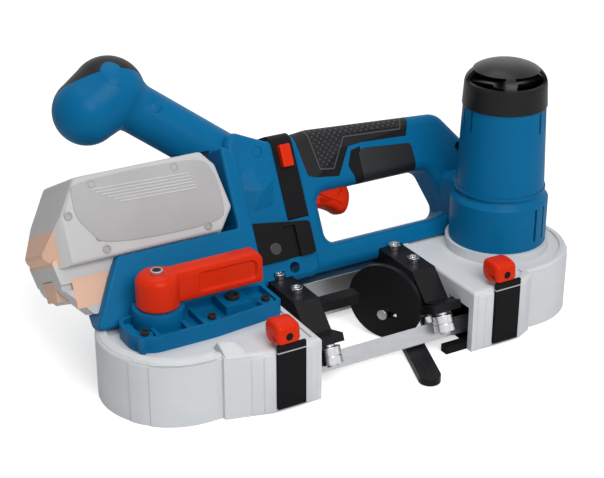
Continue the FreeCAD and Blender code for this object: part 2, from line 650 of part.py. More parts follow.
roller_pins = []
for side, arm_place, guide_place in (("left", -s.left_arm, -s.left_guide),
                                     ("right", -s.right_arm, -s.right_guide)):
    bar = padded("YZ_Plane", arm_profile, s.arm_width, (arm_place - s.arm_width / 2, 0, 0))
    head_x = (guide_place - s.head_width / 2, guide_place + s.head_width / 2)
    reach_x = (min(head_x[0], arm_place - s.arm_width / 2), max(head_x[1], arm_place + s.arm_width / 2))
    head_outline = [head_point(head_half, head_top), head_point(head_half, head_bottom),
                    head_point(-head_half, head_bottom), head_point(-head_half, head_top)]
    head = padded("YZ_Plane", head_outline, reach_x[1] - reach_x[0], (reach_x[0], 0, 0))
    bores = []
    for face, across in (("front", roller_out), ("rear", -roller_out)):
        bores.append(formed(pin_shape(guide_place, across, s.roller_pin_diameter, head_top, head_bottom)))
        start, end = -s.roller_lift - s.roller_length / 2, -s.roller_lift + s.roller_length / 2
        foot_at = end + s.run_gap
        collar = pin_shape(guide_place, across, s.pin_collar_diameter, head_bottom, start - s.run_gap)
        foot = pin_shape(guide_place, across, s.pin_head_diameter, foot_at, foot_at + s.pin_head_height)
        stem = pin_shape(guide_place, across, s.roller_pin_diameter, head_top, foot_at)
        roller_pins.append(formed(stem.multiFuse([collar, foot]).removeSplitter()))
        roller = pin_shape(guide_place, across, s.roller_diameter, start, end)
        groove_at = -s.roller_lift - s.roller_groove / 2
        step = pin_shape(guide_place, across, s.roller_diameter, groove_at, groove_at + s.roller_groove)
        step = step.cut(pin_shape(guide_place, across, s.roller_diameter - s.roller_groove, start, end))
        bore = pin_shape(guide_place, across, s.roller_pin_diameter + s.seat_gap * 2, start, end)
        node("guide_roller_%s_%s" % (side, face), formed(roller.cut(step).cut(bore)))
    holes = []
    for y in screw_y:
        holes.append(rod((arm_place, y, s.lug_seat), s.arm_screw_diameter, s.arm_thickness))
    pieces = [bar, head]
    if side == "left":
        pieces.append(block((arm_place, arm_place + s.stay_length - s.arm_width / 2),
                            (-s.stay_front, -s.stay_back),
                            (s.stay_bottom, s.stay_top)))
    node("guide_arm_" + side, cut(fuse(*pieces), *bores, *holes))
node("roller_pins", group(*roller_pins))

arm_screws = []
for arm_x in (-s.left_arm, -s.right_arm):
    for y in screw_y:
        stem = rod((arm_x, y, arm_top - s.arm_screw_length), s.arm_screw_diameter, s.arm_screw_length)
        cap = rod((arm_x, y, arm_top), s.arm_screw_head, s.arm_screw_head_height)
        socket = rod((arm_x, y, arm_top + s.hex_socket), s.arm_screw_diameter, s.arm_screw_head_height)
        arm_screws.append(cut(fuse(stem, cap), socket))


# Material stop: a round plate beside the band with a tongue under it, clamped through a slot

facing = math.radians(s.stop_angle)
ALONG = Vector(math.cos(facing), -math.sin(facing), 0)
BEHIND = Vector(math.sin(facing), math.cos(facing), 0)
stop_radius = s.stop_diameter / 2
stop_centre = Vector(-s.stop_place_x, -s.stop_place_y, s.stop_floor + stop_radius)
stop_half = s.stop_thickness / 2


def stop_bar(along, height, diameter, near, far):
    """A round bar square to the stop plate, from one depth behind its middle to another."""
    start = stop_centre + ALONG * along + UP * height + BEHIND * near
    return Part.makeCylinder(diameter / 2, far - near, start, BEHIND)


plate = stop_bar(0, 0, s.stop_diameter, -stop_half, stop_half)
slot = stop_bar(0, -s.stop_screw_drop, s.stop_slot_width, -stop_half, stop_half)
slot = slot.fuse(stop_bar(s.stop_travel, -s.stop_screw_drop, s.stop_slot_width, -stop_half, stop_half))
middle_box = Part.makeBox(s.stop_travel, s.stop_thickness, s.stop_slot_width)
middle_box.Placement = Placement(stop_centre - UP * (s.stop_screw_drop + s.stop_slot_width / 2) + BEHIND * -stop_half,
                                 Rotation(UP, -s.stop_angle))
tongue_z = s.stop_floor
root = Vector(-s.tongue_root_x, -s.tongue_root_y, tongue_z)
tip = Vector(-s.tongue_tip_x, -s.tongue_tip_y, tongue_z)
run = tip - root


def tongue_bar(width, start, end, low, high):
    """A flat bar with round ends between two places in plan."""
    line = (end - start).normalize()
    side = Vector(-line.y, line.x, 0) * (width / 2)
    lift = Vector(0, 0, low)
    corners = [start + side + lift, start - line * (width / 2) + lift, start - side + lift]
    far = [end - side + lift, end + line * (width / 2) + lift, end + side + lift]
    edges = [Part.Arc(*corners).toShape(), Part.LineSegment(corners[2], far[0]).toShape(),
             Part.Arc(*far).toShape(), Part.LineSegment(far[2], corners[0]).toShape()]
    return Part.Face(Part.Wire(edges)).extrude(Vector(0, 0, high - low))


RIDGE_SHARES = (0.45, 0.95)
tongue = tongue_bar(s.tongue_width, root, tip, 0, s.tongue_thickness)
ridge = tongue_bar(s.ridge_width, root + run * RIDGE_SHARES[0], root + run * RIDGE_SHARES[1], 0,
                   s.tongue_thickness + s.ridge_height)
material_stop = plate.cut(slot).cut(middle_box).fuse(tongue).fuse(ridge)
node("material_stop", formed(material_stop.removeSplitter()))

bracket_back = stop_half + s.run_gap
lug_face = -s.right_arm - s.arm_lug_width / 2
bracket_low = stop_centre.z - s.stop_screw_drop - s.bracket_height / 2
front_corner = stop_centre + ALONG * s.bracket_front + BEHIND * bracket_back
rear_corner = stop_centre + ALONG * -s.bracket_rear + BEHIND * bracket_back
bracket_plan = [(front_corner.x, front_corner.y), (rear_corner.x, rear_corner.y),
                (lug_face, s.bracket_lug_far),
                (lug_face, -s.bracket_lug_near)]
bracket_points = [Vector(x, y, bracket_low) for x, y in bracket_plan]
bracket = Part.Face(Part.makePolygon(bracket_points + bracket_points[:1])).extrude(UP * s.bracket_height)
BRACKET_BITE_SHARE = 0.6
screw_depth = s.bracket_height * BRACKET_BITE_SHARE
screw_stem = s.stop_slot_width - s.run_gap * 2
screw_far = bracket_back + screw_depth
screw_head_near = -stop_half - s.run_gap
stem = stop_bar(0, -s.stop_screw_drop, screw_stem, screw_head_near, screw_far)
node("stop_bracket", formed(bracket.cut(stem)))
cap = stop_bar(0, -s.stop_screw_drop, s.stop_screw_head, screw_head_near - s.stop_screw_height,
               screw_head_near)
stop_screw = formed(stem.fuse(cap).removeSplitter())


# Tensioner: a slide in the guard's rails carries the idler axle; a cam pin under the lever moves it

slide_x = (idler_x - s.slide_lead, idler_x - s.slide_lead + s.slide_length)
slide_body = block(slide_x, (-s.slide_width / 2, s.slide_width / 2), (s.slide_bottom, s.slide_top))
spring_rod = rod((slide_x[1], 0, rod_height), s.spring_rod_diameter, s.spring_rod_length, "x")
CAM_START = 30
cam_pin_x = cam_x - s.cam_throw * math.cos(math.radians(CAM_START))
cam_pin_y = s.cam_throw * math.sin(math.radians(CAM_START))
slot_half = s.cam_pin_diameter / 2 + s.cam_pin_play
slot_side = s.cam_throw + slot_half
cam_slot = block((cam_pin_x - slot_half, cam_pin_x + slot_half), (-slot_side, slot_side),
                 (s.slide_top - s.slot_depth, s.slide_top + s.overrun))
axle_hole = rod((idler_x, 0, s.slide_bottom), s.axle_diameter, s.axle_top - s.slide_bottom)
node("tension_slide", cut(fuse(slide_body, spring_rod), cam_slot, axle_hole))
axle_foot = s.wheel_bottom - s.hub_overhang
axle = rod((idler_x, 0, axle_foot - s.axle_head_height), s.axle_diameter,
           s.axle_top - axle_foot + s.axle_head_height)
axle_flange = rod((idler_x, 0, axle_foot - s.axle_head_height - s.run_gap), s.axle_head, s.axle_head_height)
axle_spacer = rod((idler_x, 0, bearing_high + s.run_gap), s.axle_head,
                  s.slide_bottom - bearing_high - s.run_gap)
node("idler_axle", fuse(axle, axle_flange, axle_spacer))

SPRINGS = 4
spring_pitch = s.spring_count_length / SPRINGS
springs = []
inner_r = s.spring_rod_diameter / 2 + s.seat_gap
SPRING_SHARE = 0.8235
outer_r = (s.slide_top - s.slide_bottom) * SPRING_SHARE / 2
for i in range(SPRINGS):
    base = spring_pitch * i
    rise = spring_pitch - s.spring_wall - s.seat_gap
    dish = turned([(inner_r, base + s.seat_gap), (outer_r, base + rise),
                   (outer_r, base + rise + s.spring_wall),
                   (inner_r, base + s.seat_gap + s.spring_wall)])
    place(dish, (slide_x[1], 0, rod_height), TURNS["x"])
    springs.append(dish)
node("tension_springs", group(*springs))

casting_x = idler_x - s.cam_back
outline = [(casting_x - s.casting_left, -s.casting_front), (casting_x + s.casting_waist, -s.casting_front),
           (casting_x + s.casting_right, -s.casting_tip_front), (casting_x + s.casting_right, s.casting_back),
           (casting_x - s.casting_left, s.casting_back)]
corner, small = s.casting_corner, s.casting_round
casting_plate = slab(outline, [corner, corner, small, small, corner / 2], deck, s.casting_top)
lip = s.casting_rib
tray = [(casting_x - s.casting_left + lip, -s.casting_front + lip),
        (casting_x + s.casting_waist, -s.casting_front + lip),
        (casting_x + s.casting_right - lip, -s.casting_tip_front + lip),
        (casting_x + s.casting_right - lip, s.casting_back - lip),
        (casting_x - s.casting_left + lip, s.casting_back - lip)]
tray_room = slab(tray, [corner - lip, corner - lip, small - lip, small - lip, corner / 2 - lip],
                 s.casting_top - s.casting_tray_depth, s.casting_top + s.overrun)
casting_plate = formed(casting_plate.cut(tray_room))
casting_boss = rod((casting_x, 0, deck), s.casting_boss_diameter, s.casting_boss_top - deck)
pad_x = casting_x + s.casting_pad_place
casting_pad = block((pad_x - s.casting_pad_length / 2, pad_x + s.casting_pad_length / 2),
                    (-s.casting_back - s.casting_round, s.casting_back - s.casting_round),
                    (deck, s.casting_top + s.casting_pad_rise))
RIB_SHARES = (-0.42, -0.2, 0.2, 0.42)
ribs = []
for share in RIB_SHARES:
    rib_x = casting_x + s.casting_left * share * 2
    ribs.append(block((rib_x - s.casting_rib / 2, rib_x + s.casting_rib / 2),
                      (-s.casting_front + s.casting_rib / 2, 0),
                      (deck, s.casting_top)))
cam_bore = rod((casting_x, 0, deck), s.cam_shaft_diameter + s.seat_gap * 2, s.casting_boss_top)
LUG_SHARES = [(-0.225, -0.70), (0.355, -0.76), (0.88, -0.56)]
lugs = []
lug_spots = [(casting_x + s.casting_right * x, s.casting_front * y) for x, y in LUG_SHARES]
for x, y in lug_spots:
    lugs.append(rod((x, y, deck), s.casting_lug_diameter, s.casting_top - deck))
casting_all = fuse(casting_plate, casting_boss, casting_pad, *ribs, *lugs)
back_trim = block((casting_x - s.casting_left * 2, casting_x + s.casting_right * 2),
                  (s.casting_back, s.casting_front * 2),
                  (deck, s.lever_top))
node("tension_casting", cut(casting_all, cam_bore, back_trim))
SOCKET_SHARE = 0.5
casting_screws = []
screw_spots = [(x, y, s.casting_top, s.casting_screw_diameter) for x, y in lug_spots]
screw_spots.append((pad_x, -s.casting_round, s.casting_top + s.casting_pad_rise, s.casting_bolt_diameter))
for x, y, z, across in screw_spots:
    knob = rod((x, y, z), across, s.casting_screw_height)
    socket = rod((x, y, z + s.casting_screw_height * SOCKET_SHARE), across * SOCKET_SHARE,
                 s.casting_screw_height)
    casting_screws.append(cut(knob, socket))
node("socket_screws", group(*arm_screws, stop_screw, *casting_screws))

lever_boss = rod((casting_x, 0, s.lever_bottom), s.lever_boss_diameter, s.lever_top - s.lever_bottom)
half = s.lever_thickness / 2
lever_bar = block((casting_x, casting_x + s.lever_reach), (-half, half), (s.lever_bottom, s.lever_top))
grip_cut = block((casting_x + s.lever_grip_start, casting_x + s.lever_reach - s.lever_grip_margin),
                 (-half - s.overrun, -half + s.lever_grip_depth),
                 (s.lever_bottom + s.lever_grip_margin, s.lever_top - s.lever_grip_margin))
lever_solid = fuse(lever_boss, lever_bar)
doc.recompute()
lever_round = doc.addObject("Part::Fillet", "LeverRound")
lever_round.Base = lever_solid
lever_edges = []
for number, edge in enumerate(lever_solid.Shape.Edges, 1):
    box = edge.BoundBox
    upper = abs(box.ZMin - s.lever_top) < NEAR
    tip_edge = abs(box.XMin - casting_x - s.lever_reach) < NEAR and abs(box.ZMax - box.ZMin) > s.lever_round
    if upper or tip_edge:
        lever_edges.append((number, float(s.lever_round), float(s.lever_round)))
lever_round.Edges = lever_edges
cam_key = rod((casting_x, 0, s.lever_bottom), s.cam_key_diameter, s.lever_top - s.lever_bottom)
node("tension_lever", cut(lever_round, grip_cut, cam_key))
shaft_low = s.slide_top + s.run_gap
cam_shaft = rod((casting_x, 0, shaft_low), s.cam_shaft_diameter, s.lever_bottom - shaft_low)
cam_stub = rod((casting_x, 0, s.lever_bottom), s.cam_key_diameter, s.lever_top - s.lever_bottom)
cam_pin = rod((cam_pin_x, cam_pin_y, s.slide_top - s.cam_pin_length), s.cam_pin_diameter,
              s.cam_pin_length + s.run_gap)
lever_screw = rod((casting_x, 0, s.lever_top), s.lever_screw_diameter, s.lever_screw_height)
node("cam_shaft", fuse(cam_shaft, cam_stub, cam_pin, lever_screw))


# Bottom covers: thin black plates inside the guards' walls, hinged along their rear edge

hinge_pins = []
for name, plan in (("idler_cover", IDLER), ("drive_cover", DRIVE)):
    sheet_form = guard_prism(plan, s.guard_wall + s.cover_side_gap, 0, s.cover_thickness)
    far = plan.reach + s.guard_radius
    whole = plan.span(-far, far)
    sheet_form = sheet_form.cut(brick(whole, (s.cover_rear, s.guard_radius),
                                      (-s.overrun, s.overrun + s.cover_thickness)))
    barrel_x = plan.span(s.hinge_place - s.hinge_length / 2, s.hinge_place + s.hinge_length / 2)
    barrel_r = s.hinge_barrel_diameter / 2
    sheet_form = sheet_form.fuse(brick(barrel_x, (s.cover_rear - s.overrun, s.hinge_back),
                                       (0, s.cover_thickness)))
    start = Vector(barrel_x[0], s.hinge_back, barrel_r)
    sheet_form = sheet_form.fuse(Part.makeCylinder(barrel_r, s.hinge_length, start, Vector(1, 0, 0)))
    pin_bore = s.hinge_pin_diameter / 2 + s.seat_gap
    sheet_form = sheet_form.cut(Part.makeCylinder(pin_bore, s.hinge_length, start, Vector(1, 0, 0)))
    if plan is DRIVE:
        nose_x = plan.span(plan.reach - s.guard_wall * 2, plan.reach + s.cover_nose_length)
        nose_y = -track - s.band_slot_half + s.cover_gap
        sheet_form = sheet_form.fuse(brick(nose_x, (nose_y, nose_y + s.cover_nose_width),
                                           (0, s.cover_nose_height)))
    node(name, formed(sheet_form.removeSplitter()))
    pin_start = (barrel_x[0] - s.cover_gap - s.hinge_ear, s.hinge_back, barrel_r)
    hinge_pins.append(rod(pin_start, s.hinge_pin_diameter, s.hinge_length + (s.cover_gap + s.hinge_ear) * 2,
                          "x"))


# Latches: a red knob turning on a lug at the guard's front edge, with a black strap down the wall

for side, plan in (("left", IDLER), ("right", DRIVE)):
    pivot_y = -plan.front + s.latch_pivot_back
    pivot_z = s.latch_pivot_height
    strap_back = -plan.front - s.cover_gap
    strap_front = strap_back - s.strap_thickness
    centre = plan.x(plan.strap)
    roll = s.latch_roll
    SLOPE_SHARE = 0.7
    outline = [(strap_front, s.strap_top), (strap_front, s.latch_top - s.latch_chamfer),
               (strap_front + s.latch_chamfer, s.latch_top), (pivot_y + roll - s.latch_chamfer, s.latch_top),
               (pivot_y + roll, s.latch_top - s.latch_chamfer), (pivot_y + roll, pivot_z),
               (pivot_y + roll * SLOPE_SHARE, pivot_z - roll * SLOPE_SHARE), (pivot_y, pivot_z - roll),
               (pivot_y - roll * SLOPE_SHARE, s.strap_top)]
    knob = padded("YZ_Plane", outline, s.latch_width, (centre - s.latch_width / 2, 0, 0))
    lug_half = s.lug_width / 2 + s.cover_gap
    clear = s.lug_diameter / 2 + s.cover_gap
    lug_slot = block((centre - lug_half, centre + lug_half), (pivot_y - clear, pivot_y + s.latch_width),
                     (pivot_z - s.latch_width, pivot_z + clear))
    pin_start = (centre - s.latch_pin_length / 2, pivot_y, pivot_z)
    pin_hole = rod(pin_start, s.latch_pin_diameter + s.seat_gap * 2, s.latch_pin_length, "x")
    ends = (centre - s.latch_width / 2, centre + s.latch_width / 2)
    slope, foot = s.latch_side_chamfer, pivot_z - s.latch_width
    face_line = [(ends[0], foot), (ends[1], foot), (ends[1], s.latch_top - slope),
                 (ends[1] - slope, s.latch_top),
                 (ends[0] + slope, s.latch_top), (ends[0], s.latch_top - slope)]
    face_points = [Vector(x, strap_front - s.overrun, z) for x, z in face_line]
    face_form = Part.Face(Part.makePolygon(face_points + face_points[:1])).extrude(Vector(0,
                                                                                          s.latch_width * 2,
                                                                                          0))
    dimple = rod((centre, strap_front - s.overrun, s.latch_top - s.latch_dimple_drop),
                 s.latch_dimple_diameter,
                 s.latch_dimple_depth + s.overrun, "y")
    node("latch_knob_" + side, cut(common(knob, formed(face_form)), lug_slot, pin_hole, dimple))
    hinge_pins.append(rod(pin_start, s.latch_pin_diameter, s.latch_pin_length, "x"))
    strap_centre = centre + s.strap_shift
    node("latch_strap_" + side, block((strap_centre - s.strap_width / 2, strap_centre + s.strap_width / 2),
                                      (strap_front, strap_back), (s.strap_foot, s.strap_top)))
node("hinge_pins", group(*hinge_pins))


# Motor housing: one turned form, a wide gear base under a slim barrel, with vents

wall = s.motor_wall
base_r = s.base_diameter / 2
barrel_r = s.barrel_diameter / 2
top_r = s.barrel_top_diameter / 2
neck_r = barrel_r - s.neck_groove
bead_low = s.barrel_bottom + s.neck_rise
bead_r = barrel_r + s.bead_proud
housing = turned([(base_r - wall, s.collar_top), (base_r, s.collar_top), (base_r, s.base_top),
                  (neck_r, s.barrel_bottom),
                  (neck_r, bead_low), (bead_r, bead_low), (bead_r, bead_low + s.bead_height),
                  (barrel_r, bead_low + s.bead_height), (top_r, s.barrel_top), (top_r - wall, s.barrel_top),
                  (barrel_r - wall, s.barrel_bottom), (barrel_r - wall, s.base_top),
                  (base_r - wall, s.base_top)])
BARREL_VENTS = (-69, -51, -33, -15, 3, 111, 129, 147, 165, 183)
BASE_VENTS = (-78, -62.5, -47, -31.5, -16)
vents = []
for turn in BARREL_VENTS:
    z = s.barrel_top - s.slot_drop
    vent = brick((top_r - wall - s.overrun, barrel_r + s.overrun), (-s.slot_width / 2, s.slot_width / 2),
                 (z - s.slot_height, z))
    vents.append(formed(vent.rotated(Vector(), UP, turn)))
for turn in BASE_VENTS:
    z = s.collar_top + s.base_slot_rise
    vent = brick((base_r - wall - s.overrun, base_r + s.overrun),
                 (-s.base_slot_width / 2, s.base_slot_width / 2),
                 (z, z + s.base_slot_height))
    vents.append(formed(vent.rotated(Vector(), UP, turn)))
node("motor_housing", cut(housing, *vents))

DOME_STEPS = 14
DOME_POWER = 0.8


def dome_line(inset):
    """The cap's profile moved inwards: a short skirt, then a full curve up to the crown."""
    line = [Vector(top_r + s.cap_lip - inset, 0, s.barrel_top)]
    rise = s.cap_top - inset - s.cap_shoulder
    for i in range(DOME_STEPS + 1):
        angle = math.pi / 2 * i / DOME_STEPS
        out = (top_r - inset) * math.cos(angle) ** DOME_POWER if i < DOME_STEPS else 0
        line.append(Vector(out, 0, s.cap_shoulder + rise * math.sin(angle) ** DOME_POWER))
    return line


def turned_form(points):
    """A solid turned about the motor's axis from a closed line."""
    face = Part.Face(Part.makePolygon(points + points[:1]))
    solid = Part.Solid(face.revolve(Vector(), UP, FULL_TURN).Shells[0])
    if solid.Volume < 0:
        solid.reverse()
    return solid


dome = turned_form(dome_line(0) + dome_line(s.cap_wall)[::-1])
CAP_WINDOWS = 4
WINDOW_TURN = 74
WINDOW_START = -112
for i in range(CAP_WINDOWS):
    floor_at = Vector(0, 0, s.cap_window_bottom)
    height = s.cap_window_top - s.cap_window_bottom
    window = Part.makeCylinder(top_r + s.overrun, height, floor_at, UP, WINDOW_TURN)
    window = window.cut(Part.makeCylinder(s.cap_crown_diameter / 2, height, floor_at))
    dome = dome.cut(window.rotated(Vector(), UP, WINDOW_START + FULL_TURN * i / CAP_WINDOWS))
SPIDER_ARMS = 3
cup = Part.makeCylinder(s.spider_diameter / 2, s.spider_top - s.top_bearing_bottom,
                        Vector(0, 0, s.top_bearing_bottom))
for i in range(SPIDER_ARMS):
    strut = brick((0, top_r - s.cap_wall / 2), (-s.spider_arm / 2, s.spider_arm / 2),
                  (s.spider_top - s.cap_wall, s.spider_top))
    cup = cup.fuse(strut.rotated(Vector(), UP, FULL_TURN * i / SPIDER_ARMS))
bearing_room = Part.makeCylinder(s.rotor_bearing_diameter / 2, s.rotor_bearing_height,
                                 Vector(0, 0, s.top_bearing_bottom))
node("motor_cap", formed(dome.fuse(cup).cut(bearing_room).removeSplitter()))


# Motor and gears: rotor pinion, a layshaft beside it, and the wheel's own gear

TIP_SHARE = 0.19
ROOT_SHARE = 0.27


def gear(teeth, tooth_at, low, high, x=0, y=0):
    """A spur gear whose first tooth points along one angle, with slim teeth for running play."""
    pitch_r = gear_module * teeth / 2
    step_angle = 2 * math.pi / teeth
    tip_r, root_r = pitch_r + gear_module * ADDENDUM_SHARE, pitch_r - gear_module * DEDENDUM_SHARE
    corners = []
    for i in range(teeth):
        middle = tooth_at + step_angle * i
        for radius, share in ((root_r, -ROOT_SHARE), (tip_r, -TIP_SHARE / 2), (tip_r, TIP_SHARE / 2),
                              (root_r, ROOT_SHARE)):
            angle = middle + step_angle * share
            corners.append(Vector(x + radius * math.cos(angle), y + radius * math.sin(angle), low))
    return Part.Face(Part.makePolygon(corners + corners[:1])).extrude(Vector(0, 0, high - low))


def bar(diameter, low, high, x=0, y=0):
    return Part.makeCylinder(diameter / 2, high - low, Vector(x, y, low))


half_big = math.pi / BIG_TEETH
output = gear(BIG_TEETH, lean + half_big, s.output_gear_bottom, s.output_gear_top)
node("output_gear", formed(output.cut(bar(s.shaft_diameter, s.output_gear_bottom, s.output_gear_top))))
drive_shaft = bar(s.shaft_diameter, s.shaft_bottom, s.shaft_top)
bolt_head = bar(s.bolt_head_diameter, s.shaft_bottom - s.bolt_head_height, s.shaft_bottom)
node("drive_shaft", formed(drive_shaft.fuse(bolt_head)))
layshaft = bar(s.lay_shaft_diameter, s.lay_shaft_bottom, s.lay_shaft_top, lay_x, lay_y)
layshaft = layshaft.fuse(gear(SMALL_TEETH, lean + math.pi, s.lay_pinion_bottom, s.lay_pinion_top, lay_x,
                              lay_y))
layshaft = layshaft.fuse(gear(BIG_TEETH, lean + math.pi + half_big, s.lay_gear_bottom, s.lay_gear_top,
                              lay_x, lay_y))
node("layshaft", formed(layshaft))
rotor = gear(SMALL_TEETH, lean, s.rotor_pinion_bottom, s.rotor_pinion_top)
rotor = rotor.fuse(bar(s.rotor_shaft_diameter, s.rotor_pinion_bottom,
                       s.top_bearing_bottom + s.rotor_bearing_height))
rotor = rotor.fuse(bar(s.rotor_diameter, s.rotor_bottom, s.rotor_top))
node("rotor", formed(rotor))
plate_r = base_r - wall - s.seat_gap
gear_plate = bar(plate_r * 2, s.gear_plate_bottom, s.gear_plate_top)
gear_plate = gear_plate.cut(bar(s.rotor_bearing_diameter, s.gear_plate_bottom, s.gear_plate_top))
gear_plate = gear_plate.cut(bar(s.lay_shaft_diameter + s.seat_gap * 2, s.gear_plate_bottom,
                                s.gear_plate_top, lay_x, lay_y))
node("gear_plate", formed(gear_plate))


def ball_race(outer, inner, low, height):
    """A bearing as one ring that fits its seat and leaves the shaft room to run."""
    return bar(outer, low, low + height).cut(bar(inner + s.seat_gap * 2, low, low + height))


node("bearings", group(
    formed(ball_race(s.rotor_bearing_diameter, s.rotor_shaft_diameter, s.gear_plate_bottom,
                     s.rotor_bearing_height)),
    formed(ball_race(s.rotor_bearing_diameter, s.rotor_shaft_diameter, s.top_bearing_bottom,
                     s.rotor_bearing_height)),
    formed(ball_race(s.bearing_diameter, s.shaft_diameter, s.lower_bearing_bottom, s.bearing_height)),
    formed(ball_race(s.bearing_diameter, s.shaft_diameter, s.upper_bearing_bottom, s.bearing_height))))
stator = bar(s.stator_diameter, s.stator_bottom, s.stator_top)
stator = stator.fuse(bar(s.coil_diameter, s.stator_bottom - s.coil_overhang, s.stator_top + s.coil_overhang))
stator = stator.cut(bar(s.stator_bore, s.stator_bottom - s.coil_overhang, s.stator_top + s.coil_overhang))
node("stator", formed(stator.removeSplitter()))
FAN_BLADES = 9
fan = bar(s.fan_diameter, s.fan_bottom, s.fan_bottom + s.fan_plate).fuse(bar(s.fan_hub_diameter,
                                                                             s.fan_bottom, s.fan_top))
for i in range(FAN_BLADES):
    vane = brick((0, s.fan_diameter / 2 - s.fan_blade), (-s.fan_blade / 2, s.fan_blade / 2),
                 (s.fan_bottom, s.fan_top))
    fan = fan.fuse(vane.rotated(Vector(), UP, FULL_TURN * i / FAN_BLADES))
node("fan", formed(fan.cut(bar(s.rotor_shaft_diameter, s.fan_bottom, s.fan_top)).removeSplitter()))


# Handle: a clamshell in its own leaning plane; local x along the saw, y up the plane, z to the front

LEAN = Placement(Vector(0, s.handle_back, s.handle_lift), Rotation(Vector(1, 0, 0), 90 - s.handle_tilt))
UNLEAN = LEAN.inverse()


def spread(shares):
    """Outline points in the handle's plane from shares of its length and height."""
    return [(s.handle_length * x, s.handle_height * y) for x, y in shares]


def spot(shares):
    return spread([shares])[0]


def in_lean(shape):
    """A shape of the saw's frame as it lies in the handle's plane."""
    moved = shape.copy()
    moved.Placement = UNLEAN.multiply(moved.Placement)
    return moved


RING_SHARES = [(-0.80, -0.28), (0.08, -0.28), (0.08, 0.40), (-0.04, 0.72), (-0.62, 0.795), (-0.80, 0.76)]
OPENING_SHARES = [(-0.64, -0.08), (-0.075, -0.08), (-0.135, 0.31), (-0.64, 0.31)]
NECK_SHARES = [(-0.985, -0.28), (-0.71, -0.28), (-0.70, 0.72), (-0.82, 0.77), (-0.95, 0.89), (-0.985, 0.80)]
FOOT_SHARES = [(-1.63, -0.28), (-0.975, -0.28), (-0.975, 0.70), (-1.0335, 0.82), (-1.0335, 0.19),
               (-1.50, 0.19),
               (-1.54, 0.06)]
KNOB_SHARE = (-1.425, 1.24)
KNOB_FRONT_SHARE = (-1.33, 1.34)
ARM_START_SHARE = (-0.90, 0.64)
EDGE_SHARE = 0.4
CORNER_SHARE = 0.6
grip = s.grip_half
ring = slab(spread(RING_SHARES), [s.corner_round] * 4 + [s.corner_round * 2, s.opening_round], -grip, grip)
ring = ring.cut(slab(spread(OPENING_SHARES), [s.opening_round] * 4, -grip - s.overrun, grip + s.overrun))
ring = soften(ring, s.grip_round, -grip, grip)
NECK_CORNER_SHARE = 0.04
neck_corner = s.handle_length * NECK_CORNER_SHARE
neck = soften(slab(spread(NECK_SHARES), [neck_corner] * 6, -s.neck_half, s.neck_half),
              neck_corner * CORNER_SHARE,
              -s.neck_half, s.neck_half)
foot = slab(spread(FOOT_SHARES), [s.foot_round * CORNER_SHARE] * 7, -s.foot_half, s.foot_half)
foot = soften(foot, s.foot_round * EDGE_SHARE, -s.foot_half, s.foot_half)
knob_at = Vector(*spot(KNOB_SHARE), 0)
knob_front_at = Vector(*spot(KNOB_FRONT_SHARE), 0)
arm_from = Vector(*spot(ARM_START_SHARE), 0)
arm_run = knob_front_at - arm_from
arm = Part.makeCylinder(s.arm_radius, arm_run.Length, arm_from, arm_run)


def egg(inset):
    """The knob's ball form moved inwards."""
    first, last = s.knob_radius - inset, s.knob_front_radius - inset
    way = knob_front_at - knob_at
    waist = Part.makeCone(first, last, way.Length, knob_at, way)
    return Part.makeSphere(first, knob_at).multiFuse([Part.makeSphere(last, knob_front_at),
                                                      waist]).removeSplitter()


knob = egg(0)
saddle = brick((-s.saddle_left, s.saddle_right), (s.saddle_front, s.saddle_back),
               (s.saddle_bottom, s.saddle_top))
saddle = in_lean(soften(saddle, s.saddle_round, s.saddle_top))
shell = ring.multiFuse([neck, foot, arm, knob, saddle])

# Room in the handle for the frame under it, the motor and the guide arms

far = s.handle_length * 2
below_guards = brick((-far, IDLER.x(s.idler_reach)), (-far, s.guard_radius + s.skirt_back),
                     (-far, s.guard_height + s.shell_gap))
below_drive = brick((DRIVE.x(s.drive_reach), far), (-far, s.guard_radius + s.skirt_back),
                    (-far, s.guard_height + s.shell_gap))
below_beam = brick((IDLER.x(s.idler_reach), DRIVE.x(s.drive_reach)), (-far, s.beam_back + s.shell_gap),
                   (-far, s.beam_top + s.shell_gap))
floor_trim = brick((-far, far), (-far, far), (-far, s.beam_bottom))
frame_room = below_guards.multiFuse([below_drive, below_beam, floor_trim])
motor_room = bar(s.base_diameter + s.frame_clear * 2, s.guard_height, s.base_top)
motor_room = motor_room.fuse(bar(s.collar_diameter + s.frame_clear * 2, s.guard_height,
                                 s.collar_top + s.frame_clear))
motor_room = motor_room.fuse(bar(s.base_diameter + s.frame_clear * 2, s.base_top, s.cap_top))
for arm_x in (-s.left_arm, -s.right_arm):
    width = s.arm_width / 2 + s.frame_clear
    frame_room = frame_room.fuse(brick((arm_x - width, arm_x + width), (-far, s.arm_rear + s.frame_clear),
                                       (s.beam_top, arm_top + s.frame_clear)))
    for y in screw_y:
        frame_room = frame_room.fuse(bar(s.arm_screw_head + s.frame_clear * 2, arm_top,
                                         arm_top + s.arm_screw_head_height + s.frame_clear, arm_x, y))
shell = shell.cut(in_lean(frame_room)).cut(in_lean(motor_room))

# Soft pads and trim are let into the handle's own surface

